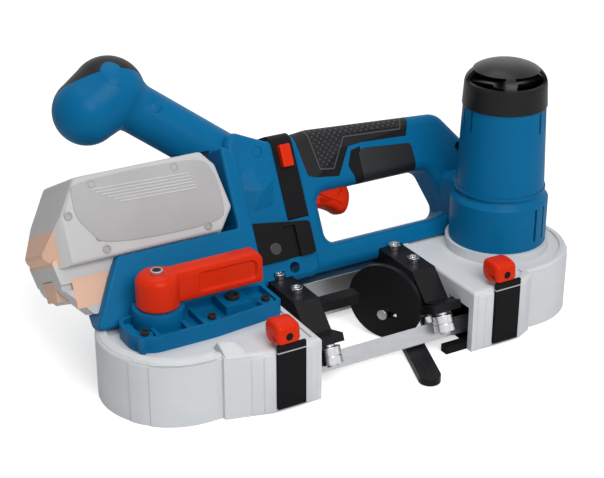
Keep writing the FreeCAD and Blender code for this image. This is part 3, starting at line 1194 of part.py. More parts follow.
PAD_SHARES = [(-0.665, 0.45), (-0.625, 0.42), (-0.50, 0.60), (-0.20, 0.645), (-0.15, 0.90), (-0.70, 0.90)]
LOWER_PAD_SHARES = [(-0.43, 0.25), (-0.19, 0.25), (-0.195, 0.53), (-0.41, 0.57), (-0.43, 0.54)]
PAD_CORE_SHARES = [(-0.75, 0.33), (-0.10, 0.33), (-0.10, 0.70), (-0.62, 0.765), (-0.75, 0.755)]
PAD_ROUND_SHARE = 0.4
core = slab(spread(PAD_CORE_SHARES), [s.pad_depth] * 5, -grip + s.pad_depth, grip - s.pad_depth)
pad_corner = s.opening_round * PAD_ROUND_SHARE
upper_pad = slab(spread(PAD_SHARES), [pad_corner] * 6, -s.neck_half, s.neck_half).common(ring).cut(core)
lower_core = slab(spread([(-0.75, 0.34), (-0.10, 0.34), (-0.10, 0.9), (-0.75, 0.9)]), [s.pad_depth] * 4,
                  -grip + s.pad_depth, grip - s.pad_depth)
lower_pad = slab(spread(LOWER_PAD_SHARES), [pad_corner] * 5, -s.neck_half,
                 s.neck_half).common(ring).cut(lower_core)
BAND_SPAN_SHARES = (-0.805, -0.72)
BAND_RISE_SHARES = (0.16, 0.80)
BAND_CORE_SHARES = (-0.10, 0.755)
band_half = s.neck_half + s.band_pad_proud
inner_half = s.neck_half - s.band_pad_depth


def saddle_strip(half, shares, corner, start, length):
    """A strip with a square section in the neck's cross-plane, rounded at the top, laid along the neck."""
    low, high = (s.handle_height * share for share in shares)
    corners = [(-half, low), (half, low), (half, high), (-half, high)]
    strip = slab(corners, [s.band_pad_depth, s.band_pad_depth, corner, corner], 0, length)
    strip.rotate(Vector(), Vector(0, 1, 0), QUARTER_TURN)
    return strip.translated(Vector(start, 0, 0))


band_start, band_stop = (s.handle_length * share for share in BAND_SPAN_SHARES)
neck_band = saddle_strip(band_half, BAND_RISE_SHARES, s.neck_round + s.band_pad_proud, band_start,
                         band_stop - band_start)
neck_band = neck_band.cut(saddle_strip(inner_half, BAND_CORE_SHARES, s.neck_round - s.band_pad_depth,
                                       band_start - s.overrun, band_stop - band_start + s.overrun * 2))
CAP_PLANE_SHARE = 0.51
CAP_WAY_SHARES = (0.1, 1, -0.5)
cap_way = Vector(*CAP_WAY_SHARES).normalize()
cap_cut = Part.makeCylinder(far, far, knob_at + cap_way * (s.knob_radius * CAP_PLANE_SHARE), cap_way)
knob_cap = knob.common(cap_cut)
knob_cap = knob_cap.cut(egg(s.cap_pad_depth))
BLOCK_SHARES = [(-0.965, -0.115), (-0.725, -0.115), (-0.725, 0.13), (-0.80, 0.15), (-0.965, 0.20)]
BLOCK_GROOVE_SHARE = (-0.815, 0.02)
light_block = slab(spread(BLOCK_SHARES), [s.pad_depth] * 5, s.block_half - s.block_depth, s.block_half)
groove_x, groove_y = spot(BLOCK_GROOVE_SHARE)
groove = brick((groove_x - s.block_groove / 2, groove_x + s.block_groove / 2),
               (-far, groove_y + s.block_groove),
               (s.block_half - s.block_groove_depth, far))
LIGHT_SHARE = (-0.885, -0.02)
light_x, light_y = spot(LIGHT_SHARE)
lens = Part.makeCylinder(s.light_diameter / 2, s.light_height,
                         Vector(light_x, light_y, s.block_half - s.light_height))
light_block = light_block.cut(groove).cut(lens).cut(in_lean(frame_room))
for trim in (upper_pad, lower_pad, neck_band, knob_cap):
    shell = shell.cut(trim)
shell = shell.cut(slab(spread(BLOCK_SHARES), [s.pad_depth] * 5, s.block_half - s.block_depth, far))

# Room inside for the switch parts, and the open bay that the battery slides into

TRIGGER_SHARES = [(-0.65, 0.20), (-0.60, 0.185), (-0.53, 0.12), (-0.495, 0.17), (-0.48, 0.24),
                  (-0.50, 0.34), (-0.65, 0.40)]
PLUNGER_SHARE = (-0.56, 0.33)
SWITCH_SHARES = ((-0.625, -0.475), (0.55, 0.68))
trigger_top = s.handle_height * TRIGGER_SHARES[-1][1]
play = s.trigger_play
trigger_room_x = (s.handle_length * TRIGGER_SHARES[0][0] - play,
                  s.handle_length * TRIGGER_SHARES[4][0] + play)
trigger_room = brick(trigger_room_x, (s.handle_height * TRIGGER_SHARES[2][1],
                                      trigger_top + s.trigger_travel + play),
                     (-s.trigger_half - play, s.trigger_half + play))
plunger_x, plunger_y = spot(PLUNGER_SHARE)
switch_x = tuple(s.handle_length * share for share in SWITCH_SHARES[0])
switch_y = tuple(s.handle_height * share for share in SWITCH_SHARES[1])
switch_box = brick(switch_x, switch_y, (-s.switch_half, s.switch_half))
plunger_room = Part.makeCylinder(s.plunger_diameter / 2 + play, switch_y[0] - plunger_y,
                                 Vector(plunger_x, plunger_y, 0),
                                 Vector(0, 1, 0))
BUTTON_SHARE = (-0.7625, 0.63)
button_x, button_y = spot(BUTTON_SHARE)


def button_form(grow, low, high):
    """The lock button's outline, grown by a play, between two depths."""
    half_w, half_h = s.button_width / 2 + grow, s.button_height / 2 + grow
    corners = [(button_x - half_w, button_y - half_h), (button_x + half_w, button_y - half_h),
               (button_x + half_w, button_y + half_h), (button_x - half_w, button_y + half_h)]
    return slab(corners, [s.band_pad_depth] * 4, low, high)


button_low = s.neck_half - s.button_depth
button_high = band_half + s.button_proud
button_room = button_form(s.button_play, button_low - s.button_travel - s.button_play, far)
neck_band = neck_band.cut(button_room)
BOARD_SHARES = ((-0.96, -0.845), (0.26, 0.56))
board_x = tuple(s.handle_length * share for share in BOARD_SHARES[0])
board_y = tuple(s.handle_height * share for share in BOARD_SHARES[1])
CHIP_SHARES = (0.2, 0.55, 0.25, 0.75)
board = brick(board_x, board_y, (-s.board_thickness, 0))
chip_w, chip_h = board_x[1] - board_x[0], board_y[1] - board_y[0]
chip = brick((board_x[0] + chip_w * CHIP_SHARES[0], board_x[0] + chip_w * CHIP_SHARES[1]),
             (board_y[0] + chip_h * CHIP_SHARES[2], board_y[0] + chip_h * CHIP_SHARES[3]),
             (0, s.board_half / 2))
bp = s.board_play
board_room = brick((board_x[0] - bp, board_x[1] + bp), (board_y[0] - bp, board_y[1] + bp),
                   (-s.board_thickness - bp, s.board_half / 2 + bp))
BATTERY_END_SHARE = -1.0375
TOWER_RIGHT_SHARE = -1.085
TOWER_LEFT_SHARE = -1.69
RAIL_START_SHARE = -1.45
PANEL_LEFT_SHARE = -1.56
end = s.handle_length * BATTERY_END_SHARE
tower_right = s.handle_length * TOWER_RIGHT_SHARE
tower_left = s.handle_length * TOWER_LEFT_SHARE
bay_top = s.battery_rise
pack_room = brick((-far, end + s.bay_gap), (bay_top - s.bay_gap, s.battery_top + s.bay_gap), (-far, far))
tower_room = brick((-far, tower_right + s.bay_gap + s.terminal_depth), (-s.tower_bottom - s.bay_gap, bay_top),
                   (-s.tower_half - s.bay_gap, s.tower_half + s.bay_gap))
FOOT_BACK_SHARE = -1.50
foot_trim = brick((-far, s.handle_length * FOOT_BACK_SHARE), (-far, bay_top), (-far, 0))
shell = shell.cut(pack_room).cut(tower_room).cut(foot_trim)
for room in (trigger_room, switch_box, plunger_room, button_room, board_room):
    shell = shell.cut(room)
rail_z = (s.tower_half + s.bay_gap - s.rail_depth, s.tower_half + s.bay_gap + s.overrun)
for low, high in (rail_z, (-rail_z[1], -rail_z[0])):
    shell = shell.fuse(brick((s.handle_length * RAIL_START_SHARE, tower_right), (s.rail_low, s.rail_high),
                             (low, high)))

# Screws that close the clamshell from the front

LOWER_SCREW_SHARE = -0.185
SCREW_SHARES = [(-0.01, 0.12), (0.02, 0.42), (-0.865, 0.70), (-1.20, 1.16)]
screw_spots = [(-s.left_arm + s.lower_screw_inset, s.handle_height * LOWER_SCREW_SHARE)] + spread(SCREW_SHARES)
handle_screws = []
for x, y in screw_spots:
    head_low, head_high = s.handle_screw_seat, s.handle_screw_seat + s.handle_screw_head_height
    screw = bar(s.handle_screw_diameter, -s.handle_screw_reach, head_high, x, y)
    screw = screw.fuse(bar(s.handle_screw_head, head_low, head_high, x, y))
    handle_screws.append(formed(screw.removeSplitter(), LEAN))
    shell = shell.cut(screw)
    shell = shell.cut(bar(s.handle_screw_head + s.screw_clear * 2, head_low, far, x, y))
node("handle_screws", group(*handle_screws))

front_half = brick((-far, far), (-far, far), (0, far))
rear_half = brick((-far, far), (-far, far), (-far, 0))
node("handle_front", formed(shell.common(front_half), LEAN))
node("handle_rear", formed(shell.common(rear_half), LEAN))
node("upper_grip", formed(upper_pad, LEAN))
node("lower_grip", formed(lower_pad, LEAN))
node("neck_band", formed(neck_band, LEAN))
node("knob_cap", formed(knob_cap, LEAN))
node("light_block", formed(light_block, LEAN))
node("work_light", formed(lens, LEAN))
node("switch_module", formed(switch_box, LEAN))
node("control_board", formed(board.fuse(chip), LEAN))
trigger = slab(spread(TRIGGER_SHARES), [s.trigger_round] * 7, -s.trigger_half, s.trigger_half)
trigger = soften(trigger, s.trigger_round / 2, -s.trigger_half, s.trigger_half)
stem_top = switch_y[0] - s.trigger_travel - s.trigger_play
stem = Part.makeCylinder(s.plunger_diameter / 2, stem_top - plunger_y, Vector(plunger_x, plunger_y, 0),
                         Vector(0, 1, 0))
node("trigger", formed(trigger.fuse(stem), LEAN))
node("lock_button", formed(button_form(0, button_low, button_high), LEAN))


# Battery: a pack whose tower slides into the bay of the handle's foot

MAIN_SHARES = [(-1.095, 0.196), (-1.0375, 0.35), (-1.065, 0.67), (-1.11, 0.78), (-1.59, 0.78),
               (-1.74, 0.30), (-1.70, 0.196)]
MAIN_PLAN_SHARES = [(-1.0, -1.0), (-1.0, 1.0), (-1.66, 1.0), (-1.74, 0.55), (-1.74, -0.55), (-1.66, -1.0)]
TOWER_SHARES = [(-1.085, -0.16), (-1.085, 0.26), (-1.72, 0.26), (-1.70, 0.05), (-1.61, -0.16)]
NOSE_SHARE = -1.69
PAD_SPAN_SHARES = (-1.665, -1.53)
PAD_RISE_SHARES = (-0.10, 0.11)
main = slab(spread(MAIN_SHARES), [s.battery_round * CORNER_SHARE] * 7, -s.battery_half, s.battery_half)
main = soften(main, s.battery_round * EDGE_SHARE, -s.battery_half, s.battery_half)
plan_points = [Vector(s.handle_length * x, 0, s.battery_half * z) for x, z in MAIN_PLAN_SHARES]
plan_form = Part.Face(Part.makePolygon(plan_points + plan_points[:1])).extrude(Vector(0,
                                                                                      s.battery_top + s.overrun, 0))
main = main.common(plan_form)
tower = slab(spread(TOWER_SHARES), [s.battery_wall] * 5, -s.tower_half, s.tower_half)
tower = tower.cut(brick((-far, far), (-far, -s.tower_floor), (-far, s.tower_keel)))
pack = main.fuse(tower)
nose_room = brick((-far, s.handle_length * NOSE_SHARE), (bay_top + s.battery_wall, s.battery_top),
                  (-far, far))
pad_x = tuple(s.handle_length * share for share in PAD_SPAN_SHARES)
pad_y = tuple(s.handle_height * share for share in PAD_RISE_SHARES)
bumpers = [pack.common(nose_room), brick(pad_x, pad_y, (s.tower_half - s.bumper_depth, s.tower_half))]
for bumper in bumpers:
    pack = pack.cut(bumper)
groove_gap = s.bay_gap
for low, high in ((s.tower_half - s.rail_depth, far), (-far, -s.tower_half + s.rail_depth)):
    pack = pack.cut(brick((-far, tower_right + s.overrun),
                          (s.rail_low - groove_gap, s.rail_high + groove_gap), (low, high)))
wall = s.battery_wall
cell_half = s.cell_length / 2
CELL_COLUMNS = 5
CELL_ROWS = 2
cell_pitch = s.cell_diameter + s.cell_gap
cells_x = end - s.battery_wall - s.battery_round - s.cell_diameter / 2
cells = []
cell_rooms = []
for i in range(CELL_COLUMNS):
    for j in range(CELL_ROWS):
        at = Vector(cells_x - cell_pitch * i, s.cell_floor + s.cell_diameter / 2 + cell_pitch * j, -cell_half)
        cells.append(formed(Part.makeCylinder(s.cell_diameter / 2, s.cell_length, at), LEAN))
        cell_rooms.append(Part.makeCylinder(s.cell_diameter / 2, s.cell_length, at))
for room in cell_rooms:
    pack = pack.cut(room)
release_y = (-s.release_bottom, s.release_top)
release_x = (tower_left - s.release_proud, tower_left + s.release_depth)
release = brick(release_x, release_y, (-s.release_half, s.release_half))
release_play = s.button_play
release_room = brick((-far, release_x[1] + s.release_travel + release_play),
                     (release_y[0] - release_play, release_y[1] + release_play),
                     (-s.release_half - release_play, s.release_half + release_play))
pack = pack.cut(release_room)
blade_rooms = []
blades = []
BLADES = 3
blade_y = (-s.blade_low, s.blade_high)
for i in range(BLADES):
    z = s.blade_pitch * (i - (BLADES - 1) / 2)
    blade_z = (z - s.blade_width / 2, z + s.blade_width / 2)
    blades.append(brick((tower_right - s.blade_length, tower_right + s.bay_gap + s.overrun), blade_y,
                        blade_z))
    gap = s.bay_gap
    blade_rooms.append(brick((tower_right - s.blade_length - gap, tower_right + gap),
                             (blade_y[0] - gap, blade_y[1] + gap),
                             (blade_z[0] - gap, blade_z[1] + gap)))
for room in blade_rooms:
    pack = pack.cut(room)
margin = s.panel_margin
for low, high in ((s.battery_half - s.panel_depth, far), (-far, -s.battery_half + s.panel_depth)):
    pack = pack.cut(brick((s.handle_length * PANEL_LEFT_SHARE, end - margin),
                          (bay_top + margin, s.battery_top - margin), (low, high)))
node("battery_case", formed(pack.removeSplitter(), LEAN))
node("battery_bumpers", group(*[formed(bumper, LEAN) for bumper in bumpers]))
node("battery_cells", group(*cells))
node("battery_release", formed(release, LEAN))
terminal = brick((tower_right + s.bay_gap, tower_right + s.bay_gap + s.terminal_depth),
                 (-s.tower_floor, bay_top - s.bay_gap),
                 (-s.terminal_half, s.terminal_half))
for blade in blades:
    terminal = terminal.fuse(blade)
node("terminal_block", formed(terminal.removeSplitter(), LEAN))


# Every object is checked before anything is written

doc.recompute()
failed = [obj.Label for obj in doc.Objects if "Invalid" in obj.State or "Error" in obj.State]
bad = [obj.Label for obj in NODES if obj.Shape.isNull() or not obj.Shape.isValid()]
if failed or bad:
    raise RuntimeError("failed objects: %s; bad shapes: %s" % (failed, bad))
os.makedirs("parts", exist_ok=True)
for obj in NODES:
    obj.Shape.exportStep(os.path.join("parts", obj.Label + ".step"))
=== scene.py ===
import json
import math
import bmesh
import bpy
import numpy as np
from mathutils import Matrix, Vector

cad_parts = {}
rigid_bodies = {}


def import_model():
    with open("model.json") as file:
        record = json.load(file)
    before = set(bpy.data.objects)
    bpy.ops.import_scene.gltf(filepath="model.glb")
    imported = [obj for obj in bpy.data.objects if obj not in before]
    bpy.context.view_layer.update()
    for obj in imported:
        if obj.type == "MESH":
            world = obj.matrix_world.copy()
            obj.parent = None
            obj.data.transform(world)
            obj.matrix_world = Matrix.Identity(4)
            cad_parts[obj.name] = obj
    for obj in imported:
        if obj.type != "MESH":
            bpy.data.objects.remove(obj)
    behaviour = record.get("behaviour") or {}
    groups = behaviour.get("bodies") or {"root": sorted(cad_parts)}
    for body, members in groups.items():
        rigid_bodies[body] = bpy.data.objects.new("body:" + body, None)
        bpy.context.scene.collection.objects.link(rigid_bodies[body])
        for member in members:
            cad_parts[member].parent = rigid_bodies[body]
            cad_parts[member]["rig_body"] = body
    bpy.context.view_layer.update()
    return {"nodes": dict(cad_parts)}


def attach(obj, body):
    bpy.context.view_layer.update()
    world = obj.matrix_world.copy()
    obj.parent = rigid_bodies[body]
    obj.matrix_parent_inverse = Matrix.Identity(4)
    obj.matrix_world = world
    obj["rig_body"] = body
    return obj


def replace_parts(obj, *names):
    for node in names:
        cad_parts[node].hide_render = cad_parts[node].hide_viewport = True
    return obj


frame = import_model()
MM = 0.001


# Wheel guards: two light grey castings with a powder coat, open underneath, one over each wheel. Walls and
# deck are one casting, with stepped strips beside the latches and, on the idler guard, a low rim and a
# shoulder. A fine orange-peel texture shows in the coat.

class Wire:
    """A shader socket that takes part in Python sums; each operation adds its own node."""

    def __init__(self, finish, socket):
        self.finish = finish
        self.socket = socket

    def math(self, operation, first, second=0.0):
        return self.finish.node("ShaderNodeMath", {"operation": operation}, {0: first, 1: second})

    def __add__(self, other):
        return self.math("ADD", self, other)

    def __radd__(self, other):
        return self.math("ADD", other, self)

    def __sub__(self, other):
        return self.math("SUBTRACT", self, other)

    def __rsub__(self, other):
        return self.math("SUBTRACT", other, self)

    def __mul__(self, other):
        return self.math("MULTIPLY", self, other)

    def __rmul__(self, other):
        return self.math("MULTIPLY", other, self)

    def __abs__(self):
        return self.math("ABSOLUTE", self)

    def least(self, other):
        return self.math("MINIMUM", self, other)

    def most(self, other):
        return self.math("MAXIMUM", self, other)

    def smooth(self, low, high):
        """0 below low, 1 above high, and a soft S-shaped ramp between them."""
        return self.finish.node("ShaderNodeMapRange", {"interpolation_type": "SMOOTHSTEP"},
                                {"Value": self, "From Min": low, "From Max": high})


class Finish:
    """A material, or the surround, with its shader and the method that adds every other node."""

    def __init__(self, owner, shader="Principled BSDF"):
        owner.use_nodes = True
        self.owner = owner
        self.tree = owner.node_tree
        self.shader = self.tree.nodes[shader]

    def fill(self, target, sockets):
        """Links wires to a node's inputs and writes plain values straight into the others."""
        for key, value in sockets.items():
            if isinstance(value, Wire):
                self.tree.links.new(value.socket, target.inputs[key])
            else:
                target.inputs[key].default_value = value

    def node(self, kind, settings, sockets, output=0):
        made = self.tree.nodes.new(kind)
        for key, value in settings.items():
            setattr(made, key, value)
        self.fill(made, sockets)
        return Wire(self, made.outputs[output])

    def place(self, stretch=(1, 1, 1)):
        """Object coordinates, stretched for patterns that run one way."""
        at = self.node("ShaderNodeTexCoord", {}, {}, "Object")
        return self.node("ShaderNodeMapping", {}, {"Vector": at, "Scale": stretch})

    def noise(self, per_metre, detail=3.0, stretch=(1, 1, 1)):
        return self.node("ShaderNodeTexNoise", {},
                         {"Vector": self.place(stretch), "Scale": per_metre, "Detail": detail})

    def cells(self, across, up, scale):
        """Distance to the nearest point of an even lattice on a plane, for dotted soft grips."""
        spot = self.node("ShaderNodeCombineXYZ", {}, {0: across, 1: up})
        return self.node("ShaderNodeTexVoronoi", {"voronoi_dimensions": "2D"},
                         {"Vector": spot, "Scale": scale, "Randomness": 0.0})

    def blend(self, share, first, second):
        return self.node("ShaderNodeMix", {"data_type": "RGBA"}, {0: share, 6: first, 7: second}, 2)

    def relief(self, height, depth):
        """Turns a height between 0 and 1 into a bump of a real depth in metres."""
        return self.node("ShaderNodeBump", {}, {"Height": height, "Strength": 1.0, "Distance": depth})

    def set(self, sockets):
        """Fills the shader's own inputs and hands back the material or the surround."""
        self.fill(self.shader, sockets)
        return self.owner


DARKER = 0.9
LIGHTER = 1.1
CLOUDS_PER_METRE = 28.0
SPECKS_PER_METRE = 160.0
CLOUD_SWING = 0.1
SPECK_SWING = 0.08


def tone(colour, factor=1.0):
    """A colour made lighter or darker, with full opacity."""
    return (*(min(1.0, channel * factor) for channel in colour), 1.0)


def coated(name, colour, roughness, grain, depth, shine=0.14):
    """A coated or moulded surface: fine grain in the relief, cloudy gloss and a slight drift of colour."""
    finish = Finish(bpy.data.materials.new(name))
    fine = finish.noise(grain, detail=2.0)
    cloud = finish.noise(CLOUDS_PER_METRE)
    specks = finish.noise(SPECKS_PER_METRE, detail=4.0)
    drift = finish.blend(cloud, tone(colour, DARKER), tone(colour, LIGHTER))
    rough = roughness + (cloud - 0.5) * CLOUD_SWING + (specks - 0.5) * SPECK_SWING
    return finish.set({"Base Color": drift, "Roughness": rough, "Normal": finish.relief(fine, depth),
                       "Specular IOR Level": shine})


SHARP = math.radians(28)
FLAT = math.radians(0.4)
WELD = 2e-6


def fasten(name, mesh, material, node):
    """Puts a finished mesh into the scene with its one material, on the body of the CAD node that it belongs
    to.
    """
    piece = bpy.data.objects.new(name, mesh)
    bpy.context.scene.collection.objects.link(piece)
    mesh.materials.clear()
    mesh.materials.append(material)
    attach(piece, frame["nodes"][node]["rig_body"])
    return piece


def smooth_over(work, mesh, sharp):
    """Shades all faces smooth except across sharp and open edges, and writes the result into the mesh."""
    for edge in work.edges:
        edge.smooth = len(edge.link_faces) == 2 and edge.calc_face_angle() < sharp
    for face in work.faces:
        face.smooth = True
    work.to_mesh(mesh)
    work.free()


def skin(node, bevel, material):
    """A merged copy of a CAD node: its flat facets joined, its hard edges rounded and its curves smooth."""
    source = frame["nodes"][node]
    mesh = bpy.data.meshes.new(node + "_skin")
    work = bmesh.new()
    work.from_mesh(source.data)
    bmesh.ops.remove_doubles(work, verts=work.verts, dist=WELD)
    bmesh.ops.dissolve_degenerate(work, edges=work.edges, dist=WELD)
    bmesh.ops.dissolve_limit(work, angle_limit=FLAT, verts=work.verts, edges=work.edges)
    smooth_over(work, mesh, SHARP)
    piece = fasten(node + "_skin", mesh, material, node)
    if bevel:
        rounding = piece.modifiers.new("rounded edges", "BEVEL")
        rounding.width = bevel
        rounding.segments = 2
        rounding.limit_method = "ANGLE"
        rounding.angle_limit = SHARP
        rounding.use_clamp_overlap = True
        rounding.harden_normals = True
    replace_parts(piece, node)


GUARD_GREY = (0.66, 0.68, 0.7)
guard_coat = coated("guard_coat", GUARD_GREY, roughness=0.42, grain=900.0, depth=0.00006)
for node in ("idler_guard", "drive_guard"):
    skin(node, bevel=0.0006, material=guard_coat)


def grid_piece(name, points, material, node, sharp=SHARP):
    """Joins a grid of points, closed round both ways or with poles, into a shell that faces outwards."""
    rows, columns = points.shape[:2]
    index = np.arange(rows * columns).reshape(rows, columns)
    across = np.roll(index, -1, axis=1)
    quads = np.stack([index[:-1], across[:-1], across[1:], index[1:]], axis=-1).reshape(-1, 4)
    mesh = bpy.data.meshes.new(name)
    mesh.from_pydata(points.reshape(-1, 3).tolist(), [], quads.tolist())
    work = bmesh.new()
    work.from_mesh(mesh)
    bmesh.ops.remove_doubles(work, verts=work.verts, dist=WELD)
    bmesh.ops.recalc_face_normals(work, faces=work.faces)
    smooth_over(work, mesh, sharp)
    return fasten(name, mesh, material, node)


RIM_ANGLES = np.linspace(110, 277, 84)
RIM_WALL = ((110, 212, 214, 226, 229, 275, 277), (53.5, 53.5, 54.3, 54.3, 55.1, 55.3, 56.3))
RIM_INSET = np.array([0.9, 2.0, 4.0, 7.2, 7.9, 8.1, 5.0])
RIM_HEIGHT = np.array([46.8, 48.6, 49.7, 49.8, 49.4, 47.6, 47.0])
IDLER_AXIS = -275.0
SHOULDER_X = np.array([-263.6, -263.5, -263.0, -262.2, -256.0, -252.0, -249.0, -247.2, -246.5])
SHOULDER_RISE = np.array([0.0, 0.9, 0.97, 1.0, 1.0, 0.92, 0.66, 0.3, 0.0])
SHOULDER_WALL = ((-264.8, -259.0, -250.0, -246.0), (-58.1, -59.6, -61.98, -63.05))
SHOULDER_BACK = np.array([0.6, -0.5, 5.5, 11.5, 14.0, 18.0, 9.0])
SHOULDER_HEIGHT = np.array([44.8, 46.8, 50.6, 53.2, 53.0, 47.2, 46.5])
SHOULDER_FOOT = 46.0
STRIPS = {
    "idler_guard": ((-247.5, -239.5, -231.2), (-198.0, -203.0, -207.8)),
    "drive_guard": ((-63.5, -57.0, -50.2), (-11.5, -19.0, -26.8)),
}
WALLS = {
    "idler_guard": ((-250.0, -233.0, -195.0), (-61.98, -66.5, -66.5)),
    "drive_guard": ((-67.0, -24.0, -11.0), (-64.5, -64.5, -58.46)),
}
STRIP_EDGE = 0.8
STRIP_PROUD = np.array([0.05, 0.7, 0.7, 1.5, 1.5, -0.6, -0.6])
STRIP_HEIGHT = np.array([1.0, 1.0, 1.5, 2.4, 42.5, 45.0, 46.4, 46.4])
STRIP_SWELL = np.array([0.0, 0.0, 0.8, 1.0, 1.0, 0.75, -0.3, -0.3])


def guard_rim():
    """A low lip along the deck's round edge: its section carried about the wheel's axis, with a pole at
    each end."""
    angle = np.radians(RIM_ANGLES)[:, None]
    radius = np.interp(RIM_ANGLES, *RIM_WALL)[:, None] - RIM_INSET
    lip = np.stack([IDLER_AXIS + radius * np.cos(angle), radius * np.sin(angle),
                    RIM_HEIGHT + 0 * radius], axis=-1)
    ends = np.broadcast_to(lip[[0, -1]].mean(axis=1, keepdims=True), (2, *lip.shape[1:]))
    return np.concatenate([ends[:1], lip, ends[1:]]) * MM


def guard_shoulder():
    """A wedge on the deck's front edge: its section carried along the wall, lower towards its right end."""
    x = SHOULDER_X[:, None] + 0 * SHOULDER_BACK
    y = np.interp(x, *SHOULDER_WALL) + SHOULDER_BACK
    z = SHOULDER_FOOT + (SHOULDER_HEIGHT - SHOULDER_FOOT) * SHOULDER_RISE[:, None]
    block = np.stack([x, y, z], axis=-1)
    block[[0, -1]] = block[[0, -1]].mean(axis=1, keepdims=True)
    return block * MM


def wall_strip(run, wall):
    """A strip with two steps beside a latch: its plan carried upwards, swelling out of the wall at the foot
    and sinking back at the top, with a pole at each end."""
    far, middle, near = run
    edge = math.copysign(STRIP_EDGE, near - far)
    plan = np.array([far, far + edge, middle, middle + edge, near, near, far])
    x = plan + 0 * STRIP_SWELL[:, None]
    proud = np.where(STRIP_PROUD > 0, STRIP_PROUD * STRIP_SWELL[:, None], STRIP_PROUD)
    y = np.interp(x, *wall) - proud
    x[[0, -1]] = x[[0, -1]].mean(axis=1, keepdims=True)
    y[[0, -1]] = y[[0, -1]].mean(axis=1, keepdims=True)
    return np.stack([x, y, STRIP_HEIGHT[:, None] + 0 * x], axis=-1) * MM


grid_piece("idler_guard_rim", guard_rim(), guard_coat, "idler_guard")
grid_piece("idler_guard_shoulder", guard_shoulder(), guard_coat, "idler_guard")
for node, runs in STRIPS.items():
    for number, run in enumerate(runs):
        grid_piece("%s_strip_%d" % (node, number + 1), wall_strip(run, WALLS[node]), guard_coat, node)


# Beam behind the throat: a bare aluminium casting with machined faces, bolted between the guards.
# Milling left faint lines along it.
LINES_PER_METRE = 60.0
LINE_STRETCH = 30.0
LINE_DEPTH = 0.00002
LINE_DARK = 0.82
LINE_BRIGHT = 1.12
LINE_SWING = 0.18
HAZE_PER_METRE = 40.0
HAZE_SWING = 0.08


def machined(name, colour, roughness, along):
    """Bare metal with fine lines along one axis and soft clouds of gloss."""
    finish = Finish(bpy.data.materials.new(name))
    stretch = [1.0 if axis == along else LINE_STRETCH for axis in "xyz"]
    lines = finish.noise(LINES_PER_METRE, detail=4.0, stretch=stretch)
    haze = finish.noise(HAZE_PER_METRE)
    shade = finish.blend(lines, tone(colour, LINE_DARK), tone(colour, LINE_BRIGHT))
    rough = roughness + (lines - 0.5) * LINE_SWING + (haze - 0.5) * HAZE_SWING
    return finish.set({"Base Color": shade, "Metallic": 1.0, "Roughness": rough,
                       "Normal": finish.relief(lines, LINE_DEPTH)})


BEAM_SILVER = (0.6, 0.62, 0.64)
beam_metal = machined("beam_metal", BEAM_SILVER, roughness=0.38, along="x")
skin("rear_beam", bevel=0.0006, material=beam_metal)


# Guide arms, stop, rollers and screws: black coated arms and stop, ground steel rollers on steel pins, and
# socket screws. Bright ones hold the arms and the stop, blacked ones the casting.
BLACK_COAT = (0.008, 0.008, 0.009)
arm_coat = coated("arm_coat", BLACK_COAT, roughness=0.36, grain=1100.0, depth=0.00005)
for node in ("guide_arm_left", "guide_arm_right", "stop_bracket", "material_stop"):
    skin(node, bevel=0.0008, material=arm_coat)
ROLLER_STEEL = (0.66, 0.66, 0.68)
roller_steel = machined("roller_steel", ROLLER_STEEL, roughness=0.2, along="z")
for side in ("left", "right"):
    for face in ("front", "rear"):
        skin("guide_roller_%s_%s" % (side, face), bevel=0.0004, material=roller_steel)
PIN_STEEL = (0.52, 0.52, 0.54)
pin_steel = machined("pin_steel", PIN_STEEL, roughness=0.3, along="z")
for node in ("roller_pins", "hinge_pins", "handle_screws"):
    skin(node, bevel=0.0002, material=pin_steel)
SCREW_STEEL = (0.6, 0.6, 0.62)
BLACKED_STEEL = (0.02, 0.02, 0.022)
BLACKED_LEFT_OF = -0.195
SCREW_ROUGHNESS = 0.24
SCREW_SWING = 0.15
BLACKED_DULLER = 0.1


def screw_metal():
    """Bright turned steel on the arms' screws, blacked steel on those of the casting further left."""
    finish = Finish(bpy.data.materials.new("screw_metal"))
    left = finish.node("ShaderNodeSeparateXYZ", {}, {0: finish.place()}, "X")
    blacked = 1.0 - left.smooth(BLACKED_LEFT_OF - MM, BLACKED_LEFT_OF + MM)
    lines = finish.noise(LINES_PER_METRE, detail=4.0, stretch=(LINE_STRETCH, LINE_STRETCH, 1.0))
    bright = finish.blend(lines, tone(SCREW_STEEL, LINE_DARK), tone(SCREW_STEEL, LINE_BRIGHT))
    rough = SCREW_ROUGHNESS + (lines - 0.5) * SCREW_SWING + blacked * BLACKED_DULLER
    return finish.set({"Base Color": finish.blend(blacked, bright, tone(BLACKED_STEEL)), "Roughness": rough,
                       "Metallic": 1.0 - blacked, "Specular IOR Level": 0.18})


skin("socket_screws", bevel=0.0003, material=screw_metal())


# Band: a thin steel loop, rolled lengthwise, with ground teeth along its lower edge. It runs round both
# wheels, and the guide rollers hold it twisted in the throat.
BAND_STEEL = (0.5, 0.51, 0.53)
band_steel = machined("band_steel", BAND_STEEL, roughness=0.3, along="x")
skin("band", bevel=0.0, material=band_steel)


